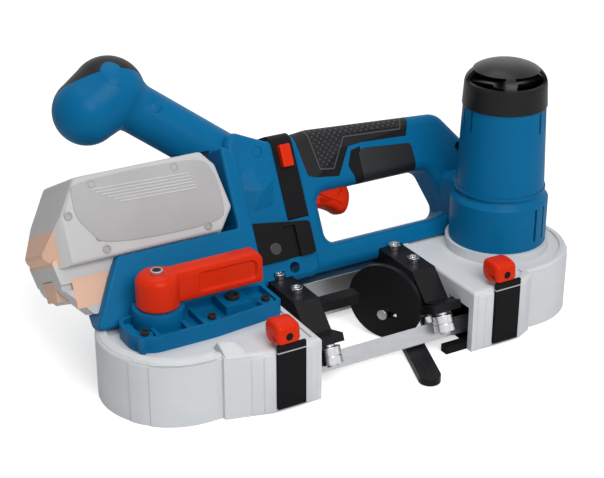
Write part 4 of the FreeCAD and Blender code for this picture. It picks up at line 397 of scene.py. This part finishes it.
# Wheels, tensioner and gears: turned wheels with rubber tyres, the sliding carriage of the idler wheel, and
# the steel shafts and gears. They work inside the guards and the motor's base, and the wheels show only
# from below with the covers open.
WHEEL_GREY = (0.45, 0.46, 0.48)
TYRE_BLACK = (0.014, 0.014, 0.015)
wheel_metal = machined("wheel_metal", WHEEL_GREY, roughness=0.4, along="z")
tyre_rubber = coated("tyre_rubber", TYRE_BLACK, roughness=0.75, grain=1500.0, depth=0.00008)
for node in ("drive_wheel", "idler_wheel", "idler_bearing", "bearings", "tension_slide", "idler_axle",
             "tension_springs", "drive_shaft", "output_gear", "layshaft", "rotor", "gear_plate"):
    skin(node, bevel=0.0, material=wheel_metal)
for node in ("drive_tyre", "idler_tyre"):
    skin(node, bevel=0.0, material=tyre_rubber)


# Tension casting and lever: a blue painted casting on the idler guard, and the red painted lever on it,
# cast with a domed boss, screwed to the cam shaft, and a bar with a dished finger grip in front.
SAW_BLUE = (0.002, 0.135, 0.31)
casting_paint = coated("casting_paint", SAW_BLUE, roughness=0.3, grain=1000.0, depth=0.00005, shine=0.12)
skin("tension_casting", bevel=0.0012, material=casting_paint)
SIGNAL_RED = (0.7, 0.026, 0.003)
lever_red = coated("lever_red", SIGNAL_RED, roughness=0.3, grain=1400.0, depth=0.00002, shine=0.1)
LEVER_AXIS = -285.0
LEVER_TIP = -207.0
LEVER_LOW = 67.0
LEVER_TOP = 91.0
BAR_HALF = 7.0
BAR_DROP = 0.3
BAR_CORNERS = np.array((3.0, 7.0, 2.0, 2.0))
BAR_STEPS = ((2.2, 7.0), (0.65, 6.35), (0.0, 4.8), (0.0, -4.8), (0.65, -6.35), (2.2, -7.0))
DISH = (-257.0, -211.5, 71.5, 86.8)
DISH_CORNERS = np.array((5.0, 6.5, 3.0, 3.0))
DISH_STEPS = ((0.0, -7.0), (0.5, -6.6), (1.6, -5.2))
LEAST_BEND = 0.3
CORNER_STEPS = 9
BOSS_RADIUS = 15.0
BOSS_CHAMFER = 0.8
DOME = 7.0
DOME_STEPS = 12
SCREW_TOP = 93.0
SOCKET_SIZE = 3.2
SOCKET_LIP = 0.3
SOCKET_LEVELS = np.array([-0.8, -0.8, 0.1, 0.2, 0.1])


def rounded_box(left, right, low, high, corners, inset=0.0):
    """Four quarter arcs, one round each corner of a box drawn in all round, joined by straight sides."""
    bend = np.maximum(corners - inset, LEAST_BEND)[:, None]
    angle = np.radians(np.array([[-90], [0], [90], [180]]) + np.linspace(0, 90, CORNER_STEPS))
    sides = np.array([[right - inset], [right - inset], [left + inset], [left + inset]])
    levels = np.array([[low + inset], [high - inset], [high - inset], [low + inset]])
    across = sides + bend * np.array([[-1], [-1], [1], [1]])
    up = levels + bend * np.array([[1], [-1], [-1], [1]])
    return np.stack([across + bend * np.cos(angle), up + bend * np.sin(angle)], axis=-1).reshape(-1, 2)


def lever_bar():
    """Rounded boxes stacked from the back face to the front, then the dish's own boxes, with a pole at
    each end."""
    low = LEVER_LOW + BAR_DROP
    high = LEVER_TOP - BAR_DROP
    outer = [rounded_box(LEVER_AXIS, LEVER_TIP, low, high, BAR_CORNERS, inset)
             for inset, depth in BAR_STEPS]
    dish = [rounded_box(*DISH, DISH_CORNERS, inset) for inset, depth in DISH_STEPS]
    back = outer[0] * 0 + outer[0].mean(axis=0)
    hollow = dish[-1] * 0 + dish[-1].mean(axis=0)
    rings = np.array([back, *outer, *dish, hollow])
    depth = np.array([BAR_HALF] + [step[1] for step in BAR_STEPS + DISH_STEPS] + [DISH_STEPS[-1][1]])
    return np.stack([rings[..., 0], depth[:, None] + 0 * rings[..., 0], rings[..., 1]], axis=-1) * MM


def full_turn(steps):
    """Even angles once round a circle, ending one step before the start."""
    return np.linspace(0, 2 * np.pi, steps, endpoint=False)


def lever_boss():
    """An upright profile turned about the cam shaft: a straight wall, a round shoulder and a flat top."""
    bend = np.linspace(0, np.pi / 2, DOME_STEPS)
    foot = [0, BOSS_RADIUS - BOSS_CHAMFER, BOSS_RADIUS]
    levels = [LEVER_LOW, LEVER_LOW, LEVER_LOW + BOSS_CHAMFER]
    radius = np.concatenate([foot, BOSS_RADIUS - DOME + DOME * np.cos(bend), [0]])[:, None]
    height = np.concatenate([levels, LEVER_TOP - DOME + DOME * np.sin(bend), [LEVER_TOP]])[:, None]
    angle = full_turn(64)
    return np.stack([LEVER_AXIS + radius * np.cos(angle), radius * np.sin(angle),
                     height + 0 * angle], axis=-1) * MM


def lever_socket_shade():
    """A six-sided black piece on the head of the lever's screw, painted shade for the dark of its socket;
    slightly dished, with a pole at each end.
    """
    radius = np.array([0.0, SOCKET_SIZE, SOCKET_SIZE, SOCKET_SIZE - SOCKET_LIP, 0.0])[:, None]
    height = SCREW_TOP + SOCKET_LEVELS[:, None]
    angle = np.radians(np.arange(0, 360, 60))
    return np.stack([LEVER_AXIS + radius * np.cos(angle), radius * np.sin(angle),
                     height + 0 * angle], axis=-1) * MM


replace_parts(grid_piece("lever_bar", lever_bar(), lever_red, "tension_lever"), "tension_lever")
grid_piece("lever_boss", lever_boss(), lever_red, "tension_lever")
skin("cam_shaft", bevel=0.0007, material=wheel_metal)
# painted shade: a black hexagon stands for the dark inside the screw's socket
grid_piece("lever_socket_shade", lever_socket_shade(), arm_coat, "cam_shaft")


# Latches and bottom covers: red moulded knobs turn on pins at the guards' front edges and hold black sheet
# straps, folded near the top. Thin black covers under the wheels swing on rear hinges.
KNOB_SIDE = np.array([(-9.6, -4), (0, -7.4), (5.2, -5.2), (7.4, 0), (7.4, 7), (4, 10.6), (-8, 10.6),
                      (-12.5, 7.5), (-12.5, -4)])
KNOB_STEPS = ((3.6, -9.0), (1.7, -8.5), (0.5, -7.4), (0.0, -5.8), (0.0, -4.9), (0.0, -4.9),
              (0.0, 4.9), (0.0, 4.9), (0.0, 5.8), (0.5, 7.4), (1.7, 8.5), (3.6, 9.0))
SLOT_ROWS = (6, 7)
SLOT = 4.4
CORNER_CUT = 0.25
CUTS = 3
EYE_RADIUS = 2.75
EYE_LIP = 0.5
EYE_HEIGHT = 1.6
EYE_LEVELS = np.array([1.0, 1.0, -0.05, -0.2, -0.1])
KNOB_FRONT = -12.5
RIDGES = ((-11.5, 7.2), (-12.2, 5.0))
RIDGE_RADIUS = 0.6
RIDGE_RUN = np.array([-6.0, -6.0, -5.6, 5.6, 6.0, 6.0])
RIDGE_SWELL = np.array([0.0, 0.5, 1.0, 1.0, 0.5, 0.0])
LATCH_PIVOTS = {"left": (-221.5, -57.0, 56.0), "right": (-40.5, -55.0, 56.0)}
STRAP_BLACK = (0.009, 0.009, 0.01)
STRAP_ROUGHNESS = 0.45
STRAP_GRAIN = 1200.0
STRAP_DEPTH = 0.00005
STRAP_SHINE = 0.06
# painted highlight: the pale line along each strap's fold stands for light caught on the bend
FOLD_HIGHLIGHT = (0.5, 0.5, 0.5)
FOLD = 0.0468
FOLD_CORE = 0.0003
FOLD_EDGE = 0.0006


def rounded(corners):
    """Cuts each corner a quarter of the way along both of its sides, several times over."""
    for cut in range(CUTS):
        after = np.roll(corners, -1, axis=0)
        first = (1 - CORNER_CUT) * corners + CORNER_CUT * after
        second = CORNER_CUT * corners + (1 - CORNER_CUT) * after
        corners = np.stack([first, second], axis=1).reshape(-1, 2)
    return corners


def stacked(outline, steps):
    """The outline, which runs anticlockwise, drawn in by each step's inset at its height, with a pole at
    each end."""
    run = np.roll(outline, -1, axis=0) - np.roll(outline, 1, axis=0)
    inward = np.stack([-run[:, 1], run[:, 0]], axis=-1) / np.linalg.norm(run, axis=1, keepdims=True)
    inset, height = np.array(steps).T
    rings = outline[None] + inset[:, None, None] * inward[None]
    pole = np.broadcast_to(outline.mean(axis=0), outline.shape)[None]
    flat = np.concatenate([pole, rings, pole])
    rise = np.concatenate([height[:1], height, height[-1:]])
    return flat[..., 0], flat[..., 1], rise[:, None] + 0 * flat[..., 0]


def latch_knob(pivot):
    """The knob's side view carried across its width and drawn in towards both ends; between the slot's walls
    its lower back gives way to the guard's lug."""
    back, up, across = stacked(rounded(KNOB_SIDE), KNOB_STEPS)
    cut = np.flatnonzero((back[SLOT_ROWS[0]] > -SLOT) & (up[SLOT_ROWS[0]] < SLOT))
    share = np.linspace(0, 1, len(cut))
    for row in SLOT_ROWS:
        first = up[row, cut[0]]
        last = back[row, cut[-1]]
        back[row, cut] = np.interp(share, (0, 0.5, 1), (-SLOT, -SLOT, last))
        up[row, cut] = np.interp(share, (0, 0.5, 1), (first, SLOT, SLOT))
    return np.stack([pivot[0] + across, pivot[1] + back, pivot[2] + up], axis=-1) * MM


def latch_eye_shade(pivot):
    """A small black disc in the knob's face, painted shade for the dark of a dimple; turned about an axis that
    runs front to back, with a dished middle.
    """
    radius = np.array([0.0, EYE_RADIUS, EYE_RADIUS, EYE_RADIUS - EYE_LIP, 0.0])[:, None]
    depth = KNOB_FRONT + EYE_LEVELS[:, None]
    angle = full_turn(32)
    return np.stack([pivot[0] + radius * np.cos(angle), pivot[1] + depth + 0 * angle,
                     pivot[2] + EYE_HEIGHT + radius * np.sin(angle)], axis=-1) * MM


def latch_ridge(pivot, place):
    """A finger ridge: a round section carried straight across the knob, drawn to a point at each end."""
    along = RIDGE_RUN[:, None]
    swell = RIDGE_RADIUS * RIDGE_SWELL[:, None]
    angle = full_turn(16)
    return np.stack([pivot[0] + along + 0 * angle, pivot[1] + place[0] + swell * np.cos(angle),
                     pivot[2] + place[1] + swell * np.sin(angle)], axis=-1) * MM


def fold_highlight_strap():
    """Black sheet with fine grain and a painted highlight along its fold, where light catches the bend."""
    finish = Finish(bpy.data.materials.new("fold_highlight_strap"))
    height = finish.node("ShaderNodeSeparateXYZ", {}, {0: finish.place()}, "Z")
    # painted highlight: a thin band just round the fold's height
    above = height.smooth(FOLD - FOLD_EDGE, FOLD - FOLD_CORE)
    line = above * (1.0 - height.smooth(FOLD + FOLD_CORE, FOLD + FOLD_EDGE))
    cloud = finish.noise(CLOUDS_PER_METRE)
    black = finish.blend(cloud, tone(STRAP_BLACK, DARKER), tone(STRAP_BLACK, LIGHTER))
    grain = finish.noise(STRAP_GRAIN, detail=2.0)
    return finish.set({"Base Color": finish.blend(line, black, tone(FOLD_HIGHLIGHT)), "Specular IOR Level": STRAP_SHINE,
                       "Roughness": STRAP_ROUGHNESS + (cloud - 0.5) * CLOUD_SWING,
                       "Normal": finish.relief(grain, STRAP_DEPTH)})


strap_black = coated("strap_black", STRAP_BLACK, STRAP_ROUGHNESS, STRAP_GRAIN, STRAP_DEPTH, STRAP_SHINE)
strap_sheet = fold_highlight_strap()
for side, pivot in LATCH_PIVOTS.items():
    knob = "latch_knob_" + side
    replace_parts(grid_piece("latch_form_" + side, latch_knob(pivot), lever_red, knob, math.radians(40)), knob)
    # painted shade: a black disc stands for the dark inside the knob's dimple
    grid_piece("latch_eye_shade_" + side, latch_eye_shade(pivot), strap_black, knob)
    for number, place in enumerate(RIDGES):
        grid_piece("latch_ridge_%s_%d" % (side, number + 1), latch_ridge(pivot, place), lever_red, knob)
    skin("latch_strap_" + side, bevel=0.0005, material=strap_sheet)
for node in ("idler_cover", "drive_cover"):
    skin(node, bevel=0.0004, material=strap_black)


# Motor: a blue moulded housing with a wide gear base stands on the drive guard's collar, closed by a black
# vented cap. The copper windings and the fan are inside.
MOULDED_ROUGHNESS = 0.34
MOULDED_GRAIN = 1600.0
MOULDED_SHINE = 0.07
moulded_blue = coated("moulded_blue", SAW_BLUE, MOULDED_ROUGHNESS, MOULDED_GRAIN, depth=0.000035,
                      shine=MOULDED_SHINE)
skin("motor_housing", bevel=0.0005, material=moulded_blue)
CAP_BLACK = (0.009, 0.009, 0.01)
cap_black = coated("cap_black", CAP_BLACK, roughness=0.3, grain=1600.0, depth=0.00003, shine=0.22)
skin("motor_cap", bevel=0.0004, material=cap_black)
COPPER = (0.5, 0.2, 0.08)
winding = machined("winding", COPPER, roughness=0.4, along="z")
skin("stator", bevel=0.0, material=winding)
skin("fan", bevel=0.0, material=strap_black)


# Handle: two blue plastic halves, with soft black rubber moulded on in a second shot. The grip's rubber is
# studded with small dots inside a raised border. The halves lean back and are screwed together.
LEAN_BASE = (0.0, 55.0, 60.0)
LEAN_COS = math.cos(math.radians(63))
LEAN_SIN = math.sin(math.radians(63))
PAD_LEFT = ((-132, 76), (-127, 45))
PAD_FOOT = ((-127, 42.6), (-107, 39.8))
PAD_INNER = ((-107, 39.8), (-93, 62))
PAD_UNDER = ((-93, 62), (-41, 59))
PAD_RIGHT = ((-42, 59), (-32, 84))
PAD_TOP = (70, 71)
PAD_END = (-136, -135)
UNDER_PAD = (((-80, 59.6), (-92.5, 57)), ((-92.5, 57), (-97.5, 46)), ((-97.5, 46), (-92, 31)))
UNDER_RIGHT = -84.0
UNDER_FOOT = 25.0
SEAM = 0.15
RUBBER = (0.009, 0.009, 0.01)
RUBBER_DARK = 0.8
RUBBER_PALE = 1.5
RUBBER_PER_METRE = 60.0
RUBBER_ROUGHNESS = 0.52
RUBBER_SWING = 0.15
BORDER_GREY = (0.075, 0.085, 0.085)
BORDER_INSET = 6.0
BORDER_EDGE = (0.35, 0.75)
STUDS_PER_MM = 0.2
STUDS_FROM = (7.2, 8.2)
STUD_EDGE = (0.18, 0.4)
STUD_PALE = 7.0
STUD_SHARE = 0.8
STUD_DEPTH = 0.0005
GRAIN_SHARE = 0.07


def lean(u, v, w):
    """Points of the leaning handle plane in metres: u runs right, v up the lean and w towards the front."""
    return np.stack([LEAN_BASE[0] + u, LEAN_BASE[1] + LEAN_COS * v - LEAN_SIN * w,
                     LEAN_BASE[2] + LEAN_SIN * v + LEAN_COS * w], axis=-1) * MM


def lean_wires(finish):
    """The handle plane's u and v in millimetres, from Object coordinates."""
    at = finish.place((1 / MM, 1 / MM, 1 / MM))
    across, back, up = (finish.node("ShaderNodeSeparateXYZ", {}, {0: at}, axis) for axis in "XYZ")
    return across - LEAN_BASE[0], (back - LEAN_BASE[1]) * LEAN_COS + (up - LEAN_BASE[2]) * LEAN_SIN


def side_of(u, v, line):
    """Distance to the left of a line through two points, along its normal."""
    (u0, v0), (u1, v1) = line
    run = u1 - u0
    rise = v1 - v0
    length = math.hypot(run, rise)
    return (v - v0) * (run / length) - (u - u0) * (rise / length)


def inside(u, v, lines):
    """How far a point is inside three lines that have the shape on their left."""
    first, second, third = (side_of(u, v, line) for line in lines)
    return first.least(second).least(third)


def pad_depth(finish):
    """How far inside the pad's outline a point is: the deeper of the left lobe and the long strip under
    the hand."""
    u, v = lean_wires(finish)
    lobe = inside(u, v, (PAD_LEFT, PAD_FOOT, PAD_INNER))
    strip = inside(u, v, (PAD_UNDER, PAD_RIGHT, PAD_LEFT))
    return lobe.most(strip)


def studded(finish, depth):
    """Rubber with a border inside its outline and rows of dots within it: colour, roughness and relief."""
    border = 1.0 - abs(depth - BORDER_INSET).smooth(*BORDER_EDGE)
    u, v = lean_wires(finish)
    dots = 1.0 - finish.cells(u + v, u - v, STUDS_PER_MM).smooth(*STUD_EDGE)
    stud = dots * depth.smooth(*STUDS_FROM)
    cloud = finish.noise(RUBBER_PER_METRE)
    shade = finish.blend(cloud, tone(RUBBER, RUBBER_DARK), tone(RUBBER, RUBBER_PALE))
    dotted = finish.blend(stud * STUD_SHARE, shade, tone(RUBBER, STUD_PALE))
    colour = finish.blend(border, dotted, tone(BORDER_GREY))
    return colour, RUBBER_ROUGHNESS + (cloud - 0.5) * RUBBER_SWING, stud.most(border)


def grip_rubber():
    """The upper pad's rubber, with its border and dots."""
    finish = Finish(bpy.data.materials.new("grip_rubber"))
    colour, rough, height = studded(finish, pad_depth(finish))
    return finish.set({"Base Color": colour, "Roughness": rough, "Normal": finish.relief(height, STUD_DEPTH),
                       "Specular IOR Level": 0.18})


def two_shot():
    """Blue shell with the rubber of both pads moulded flush into it past the edges of their cores."""
    finish = Finish(bpy.data.materials.new("two_shot"))
    depth = pad_depth(finish)
    u, v = lean_wires(finish)
    lower = inside(u, v, UNDER_PAD).least(UNDER_RIGHT - u).least(v - UNDER_FOOT)
    on_pads = depth.most(lower).smooth(-SEAM, SEAM)
    rubber = on_pads * (1.0 - v.smooth(*PAD_TOP)) * u.smooth(*PAD_END)
    colour, rough, height = studded(finish, depth)
    cloud = finish.noise(CLOUDS_PER_METRE)
    blue = finish.blend(cloud, tone(SAW_BLUE, DARKER), tone(SAW_BLUE, LIGHTER))
    grain = finish.noise(MOULDED_GRAIN, detail=2.0) * GRAIN_SHARE
    shell = MOULDED_ROUGHNESS + (cloud - 0.5) * CLOUD_SWING
    return finish.set({"Base Color": finish.blend(rubber, blue, colour), "Specular IOR Level": MOULDED_SHINE,
                       "Roughness": shell + rubber * (rough - MOULDED_ROUGHNESS),
                       "Normal": finish.relief(grain * (1.0 - rubber) + height * rubber, STUD_DEPTH)})


shell_blue = two_shot()
for node in ("handle_front", "handle_rear"):
    skin(node, bevel=0.0005, material=shell_blue)
skin("upper_grip", bevel=0.0004, material=grip_rubber())
plain_rubber = coated("plain_rubber", RUBBER, roughness=0.4, grain=1500.0, depth=0.00003, shine=0.4)
skin("lower_grip", bevel=0.0004, material=plain_rubber)


# Front knob: the arm ends in a ball that the second hand holds. A smooth hollow runs from the arm into
# the ball, moulded with the shell, and a soft black cap is snapped over the ball's upper face.
# Plugs close the holes of two shell screws, on the arm and on the neck.
ARM_FOOT = np.array((-180.0, 64.0))
BALL = np.array((-266.0, 134.0))
ARM_RADIUS = 18.5
BALL_RADIUS = 26.8
HOLLOW = 16.0
HOLLOW_STEPS = 20
HOLLOW_CORE = 4
SINK = 0.08
TONGUE = (-268.5, 144.5)
TONGUE_HALVES = (8.0, 9.0)
TONGUE_SHARE = np.array([0.0, 0.0, 0.3, 0.6, 0.85, 0.95, 1.0, 1.0, 0.0])
TONGUE_RISE = np.array([-3.0, 0.3, 0.3, 0.3, 0.25, 0.15, 0.0, -3.0, -3.0])
PLUG_RADII = np.array([0.0, 4.05, 4.05, 3.8, 2.5, 0.0])
PLUG_LOW = 9.2
PLUG_CORNER = 0.3
PLUG_EASE = 0.7
PLUGS = {"arm_plug": ((-240, 116), 17.9, 0.4), "neck_plug": ((-173, 70), 23.9, 0.15)}


def turned_about_arm(reach, radius):
    """A profile of reaches along the arm and radii from it, carried round the arm's axis."""
    way = (ARM_FOOT - BALL) / np.linalg.norm(ARM_FOOT - BALL)
    angle = full_turn(72)
    side = radius[:, None] * np.cos(angle)
    centre = BALL + way * reach[:, None]
    u = centre[:, :1] - way[1] * side
    v = centre[:, 1:] + way[0] * side
    return lean(u, v, radius[:, None] * np.sin(angle))


def hollow_profile():
    """An arc that touches the arm and the ball, closed by a line inside both."""
    out = ARM_RADIUS + HOLLOW
    along = math.sqrt((BALL_RADIUS + HOLLOW) ** 2 - out ** 2)
    arc = np.linspace(-np.pi / 2, -np.pi + math.atan2(out, along), HOLLOW_STEPS)
    reach = along + (HOLLOW + SINK) * np.cos(arc)
    radius = out + (HOLLOW + SINK) * np.sin(arc)
    core = radius[0] - HOLLOW_CORE
    return np.append(reach, (reach[-1], reach[0], reach[0])), np.append(radius, (core, core, radius[0]))


def knob_tongue():
    """An oval on the ball's upper front: its points pushed out along the ball's radius, highest in its
    middle."""
    angle = full_turn(40)
    u = TONGUE[0] + TONGUE_HALVES[0] * TONGUE_SHARE[:, None] * np.cos(angle)
    v = TONGUE[1] + TONGUE_HALVES[1] * TONGUE_SHARE[:, None] * np.sin(angle)
    across = u - BALL[0]
    up = v - BALL[1]
    from_ball = np.stack([across, up, np.sqrt(BALL_RADIUS ** 2 - across ** 2 - up ** 2)], axis=-1)
    out = from_ball * (1 + TONGUE_RISE[:, None, None] / BALL_RADIUS)
    return lean(BALL[0] + out[..., 0], BALL[1] + out[..., 1], out[..., 2])


def screw_plug(place, top, crown):
    """A plug turned about the screw's axis: a straight wall and a slightly crowned top."""
    radius = PLUG_RADII[:, None]
    height = np.array([PLUG_LOW, PLUG_LOW, top - PLUG_CORNER, top, top + PLUG_EASE * crown, top + crown])
    angle = full_turn(40)
    u = place[0] + radius * np.cos(angle)
    v = place[1] + radius * np.sin(angle)
    return lean(u, v, height[:, None] + 0 * angle)


grid_piece("knob_hollow", turned_about_arm(*hollow_profile()), moulded_blue, "handle_front")
grid_piece("knob_tongue", knob_tongue(), moulded_blue, "handle_front")
for name, (place, top, crown) in PLUGS.items():
    grid_piece(name, screw_plug(place, top, crown), moulded_blue, "handle_front")
CAP_RUBBER = (0.01, 0.01, 0.011)
cap_rubber = coated("cap_rubber", CAP_RUBBER, roughness=0.42, grain=1400.0, depth=0.00005)
skin("knob_cap", bevel=0.0004, material=cap_rubber)


# Neck fittings and controls: a black band round the neck with a faceted peak beside it, the lamp block with
# its smoky lens, the red moulded trigger and lock button, and the switch, board and terminals inside.
for node in ("neck_band", "light_block", "switch_module", "terminal_block"):
    skin(node, bevel=0.0004, material=strap_black)
SMOKE = (0.02, 0.021, 0.024)
lens = coated("lens", SMOKE, roughness=0.08, grain=500.0, depth=0.00001, shine=0.6)
skin("work_light", bevel=0.0003, material=lens)
skin("lock_button", bevel=0.001, material=lever_red)
GEM = np.array([(-196.5, 45), (-188, 27), (-170, 29), (-164.5, 48), (-181, 60.5), (-196.5, 54)])
GEM_PEAK = np.array((-177.0, 41.5))
GEM_SHARE = np.array([1.0, 0.0, 0.0, 1.0])
GEM_LEVELS = np.array([22.0, 22.0, 23.95, 28.0])
GEM_SHARP = math.radians(3)
TRIGGER = np.array([(-131, 38), (-132, 26), (-131, 19), (-122, 20.5), (-114, 17), (-108, 11.5),
                    (-103, 11.5), (-98.5, 17), (-95.5, 25), (-97, 33), (-101, 38)])
TRIGGER_STEPS = ((7.0, -11.0), (4.6, -10.5), (2.6, -9.4), (1.1, -7.6), (0.3, -5.4), (0.0, -2.6),
                 (0.0, 2.6), (0.3, 5.4), (1.1, 7.6), (2.6, 9.4), (4.6, 10.5), (7.0, 11.0))
TRIGGER_SHARP = math.radians(50)


def neck_gem(side):
    """A low faceted peak on the neck: straight lines from its six-sided foot to one point."""
    flat = GEM[None] + GEM_SHARE[:, None, None] * (GEM_PEAK - GEM)[None]
    return lean(flat[..., 0], flat[..., 1], side * (GEM_LEVELS[:, None] + 0 * flat[..., 0]))


for face, side in (("front", 1), ("rear", -1)):
    grid_piece("neck_gem_" + face, neck_gem(side), moulded_blue, "handle_" + face, GEM_SHARP)
trigger_red = coated("trigger_red", SIGNAL_RED, roughness=0.42, grain=1400.0, depth=0.00003, shine=0.07)
trigger_points = lean(*stacked(rounded(TRIGGER), TRIGGER_STEPS))
trigger_form = grid_piece("trigger_form", trigger_points, trigger_red, "trigger", TRIGGER_SHARP)
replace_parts(trigger_form, "trigger")
BOARD_GREEN = (0.02, 0.14, 0.06)
board_green = coated("board_green", BOARD_GREEN, roughness=0.5, grain=800.0, depth=0.00003)
skin("control_board", bevel=0.0, material=board_green)


# Battery: a grey moulded pack with soft pads on its corners, slid onto the handle's foot. On each side a
# darker panel with a row of fine ribs is set into the case, and screws hold the case together.
PACK_GREY = (0.56, 0.555, 0.56)
pack_grey = coated("pack_grey", PACK_GREY, roughness=0.5, grain=1300.0, depth=0.00005)
skin("battery_case", bevel=0.0008, material=pack_grey)
FACE = 36.0
PANEL = np.array([(-322.5, 67), (-323, 51), (-315.5, 40), (-307, 27.5), (-218, 25), (-212.5, 38),
                  (-215.8, 66.5), (-227, 75), (-321, 75)])
PANEL_PROUD = 0.6
PANEL_STEPS = np.array(((0.0, FACE - 1.2), (0.0, FACE + 0.15), (0.35, FACE + 0.45),
                        (0.9, FACE + PANEL_PROUD)))
RIBS = 6
RIB_STEP = 2.3
RIB_LENGTH = 74
RIB_SHORTER = 3
RIB_MIDDLE = -271.5
RIB_SHIFT = 2.2
RIB_TOP = 66
RIB_FALL = 2.4
RIB_HALF = 0.62
RIB_RISE = 0.42
RIB_ENDS = np.array([-0.5, -0.5, 0.5, 0.5])
RIB_SWELL = np.array([0.0, 1.0, 1.0, 0.0])
PACK_SCREWS = ((-306.5, 71), (-327.5, 53), (-306, 25.5), (-229, 25.5), (-244.5, 71))
HEAD_RADII = np.array([0.0, 2.9, 3.1, 2.8, 2.1, 1.9, 0.0])
HEAD_LEVELS = np.array([-1.0, -1.0, 0.5, 0.8, 0.8, 0.1, 0.0])


def panel_rib(number, side):
    """One slim rib of the panel: an oval section, half sunk, carried along a shorter run each time."""
    angle = full_turn(16)
    along = RIB_ENDS[:, None] * (RIB_LENGTH - RIB_SHORTER * number)
    swell = RIB_SWELL[:, None]
    u = RIB_MIDDLE + RIB_SHIFT * number + along + 0 * angle
    centre = RIB_TOP - RIB_STEP * number - RIB_FALL * along / RIB_LENGTH
    v = centre + RIB_HALF * swell * np.cos(angle)
    return lean(u, v, side * (FACE + PANEL_PROUD + RIB_RISE * swell * np.sin(angle)))


def screw_head(place, side):
    """A low round head with a dished middle, turned about its own axis."""
    radius = HEAD_RADII[:, None]
    angle = full_turn(32)
    u = place[0] + radius * np.cos(angle)
    v = place[1] + radius * np.sin(angle)
    return lean(u, v, side * (FACE + HEAD_LEVELS[:, None] + 0 * angle))


PANEL_GREY = (0.44, 0.435, 0.445)
HEAD_GREY = (0.36, 0.355, 0.36)
panel_grey = coated("panel_grey", PANEL_GREY, roughness=0.42, grain=1500.0, depth=0.00003)
head_grey = coated("head_grey", HEAD_GREY, roughness=0.35, grain=1500.0, depth=0.00002, shine=0.5)
panel_outline = rounded(PANEL)
for face, side in (("front", 1), ("rear", -1)):
    panel_points = lean(*stacked(panel_outline, PANEL_STEPS * (1, side)))
    grid_piece("pack_panel_" + face, panel_points, panel_grey, "battery_case")
    for number in range(RIBS):
        name = "pack_bar_%s_%d" % (face, number + 1)
        grid_piece(name, panel_rib(number, side), pack_grey, "battery_case")
    for number, place in enumerate(PACK_SCREWS):
        name = "pack_screw_%s_%d" % (face, number + 1)
        grid_piece(name, screw_head(place, side), head_grey, "battery_case")
PAD_PEACH = (0.78, 0.5, 0.37)
pad_peach = coated("pad_peach", PAD_PEACH, roughness=0.55, grain=1300.0, depth=0.00005)
skin("battery_bumpers", bevel=0.0008, material=pad_peach)
skin("battery_release", bevel=0.0008, material=pad_peach)
CELL_GREEN = (0.05, 0.25, 0.16)
cell_wrap = coated("cell_wrap", CELL_GREEN, roughness=0.35, grain=700.0, depth=0.00002)
skin("battery_cells", bevel=0.0, material=cell_wrap)


# Studio: a pale matt floor under the saw, three large soft lamps round it and a white surround. The floor
# glows for the camera alone, brighter further out: it fades into the surround, and no piece mirrors the glow.
FLOOR_SIZE = 12.0
FLOOR_DARK = (0.8, 0.8, 0.8)
FLOOR_PALE = (0.84, 0.84, 0.84)
MOTTLE_PER_METRE = 3.0
NEAR_GLOW = 0.55
GLOW_RISE = (0.7, 2.0)
BLACK = (0, 0, 0, 1)
WHITE = (1, 1, 1, 1)
LAMPLIGHT = 0.22
AIM = Vector((-0.16, 0.0, 0.08))
LAMPS = {
    "key": ((-0.3, -1.2, 1.2), 1.0, 18.0),
    "top": ((-0.15, 0.3, 1.5), 1.1, 7.0),
    "fill": ((1.1, -0.8, 0.7), 0.9, 1.2),
}


def seen_by(finish, kind):
    """1 for the rays of one kind, such as the camera's or those of mirrors, and 0 for the rest."""
    return finish.node("ShaderNodeLightPath", {}, {}, "Is %s Ray" % kind)


half = FLOOR_SIZE / 2
floor_corners = [(-half, -half, 0), (half, -half, 0), (half, half, 0), (-half, half, 0)]
floor_mesh = bpy.data.meshes.new("floor")
floor_mesh.from_pydata(floor_corners, [], [(0, 1, 2, 3)])
floor = bpy.data.objects.new("floor", floor_mesh)
bpy.context.scene.collection.objects.link(floor)
ground = Finish(bpy.data.materials.new("ground"))
reach = ground.node("ShaderNodeVectorMath", {"operation": "LENGTH"}, {0: ground.place()}, "Value")
glow = NEAR_GLOW + (1.0 - NEAR_GLOW) * reach.smooth(*GLOW_RISE)
mottle = ground.blend(ground.noise(MOTTLE_PER_METRE), tone(FLOOR_DARK), tone(FLOOR_PALE))
ground.set({"Base Color": mottle, "Roughness": 0.9, "Specular IOR Level": 0.1, "Emission Strength": 1.0,
            "Emission Color": ground.blend(seen_by(ground, "Camera") * glow, BLACK, WHITE)})
floor_mesh.materials.append(ground.owner)

surround = Finish(bpy.data.worlds.new("surround"), "Background")
seen = seen_by(surround, "Camera").most(seen_by(surround, "Glossy"))
surround.set({"Color": WHITE, "Strength": LAMPLIGHT + seen * (1.0 - LAMPLIGHT)})
bpy.context.scene.world = surround.owner

for name, (place, size, power) in LAMPS.items():
    lamp = bpy.data.lights.new(name, "AREA")
    lamp.size = size
    lamp.energy = power
    holder = bpy.data.objects.new(name, lamp)
    holder.location = place
    holder.rotation_euler = (AIM - Vector(place)).to_track_quat("-Z", "Y").to_euler()
    bpy.context.scene.collection.objects.link(holder)


# Camera: the photograph's view from the front left and above. Its place, aim and focal length were fitted
# to the wheels and guards, and the plain display curve keeps white white.
SENSOR = 36.0
FOCAL_PIXELS = 1460.0
IMAGE_WIDTH = 604
EYE = Vector((-0.6355, -0.8116, 0.5293))
TARGET = Vector((-0.1845, -0.021, 0.101))
lens_data = bpy.data.cameras.new("camera")
lens_data.sensor_width = SENSOR
lens_data.lens = FOCAL_PIXELS / IMAGE_WIDTH * SENSOR
camera = bpy.data.objects.new("camera", lens_data)
camera.location = EYE
camera.rotation_euler = (TARGET - EYE).to_track_quat("-Z", "Y").to_euler()
bpy.context.scene.collection.objects.link(camera)
bpy.context.scene.camera = camera
bpy.context.scene.view_settings.view_transform = "Standard"
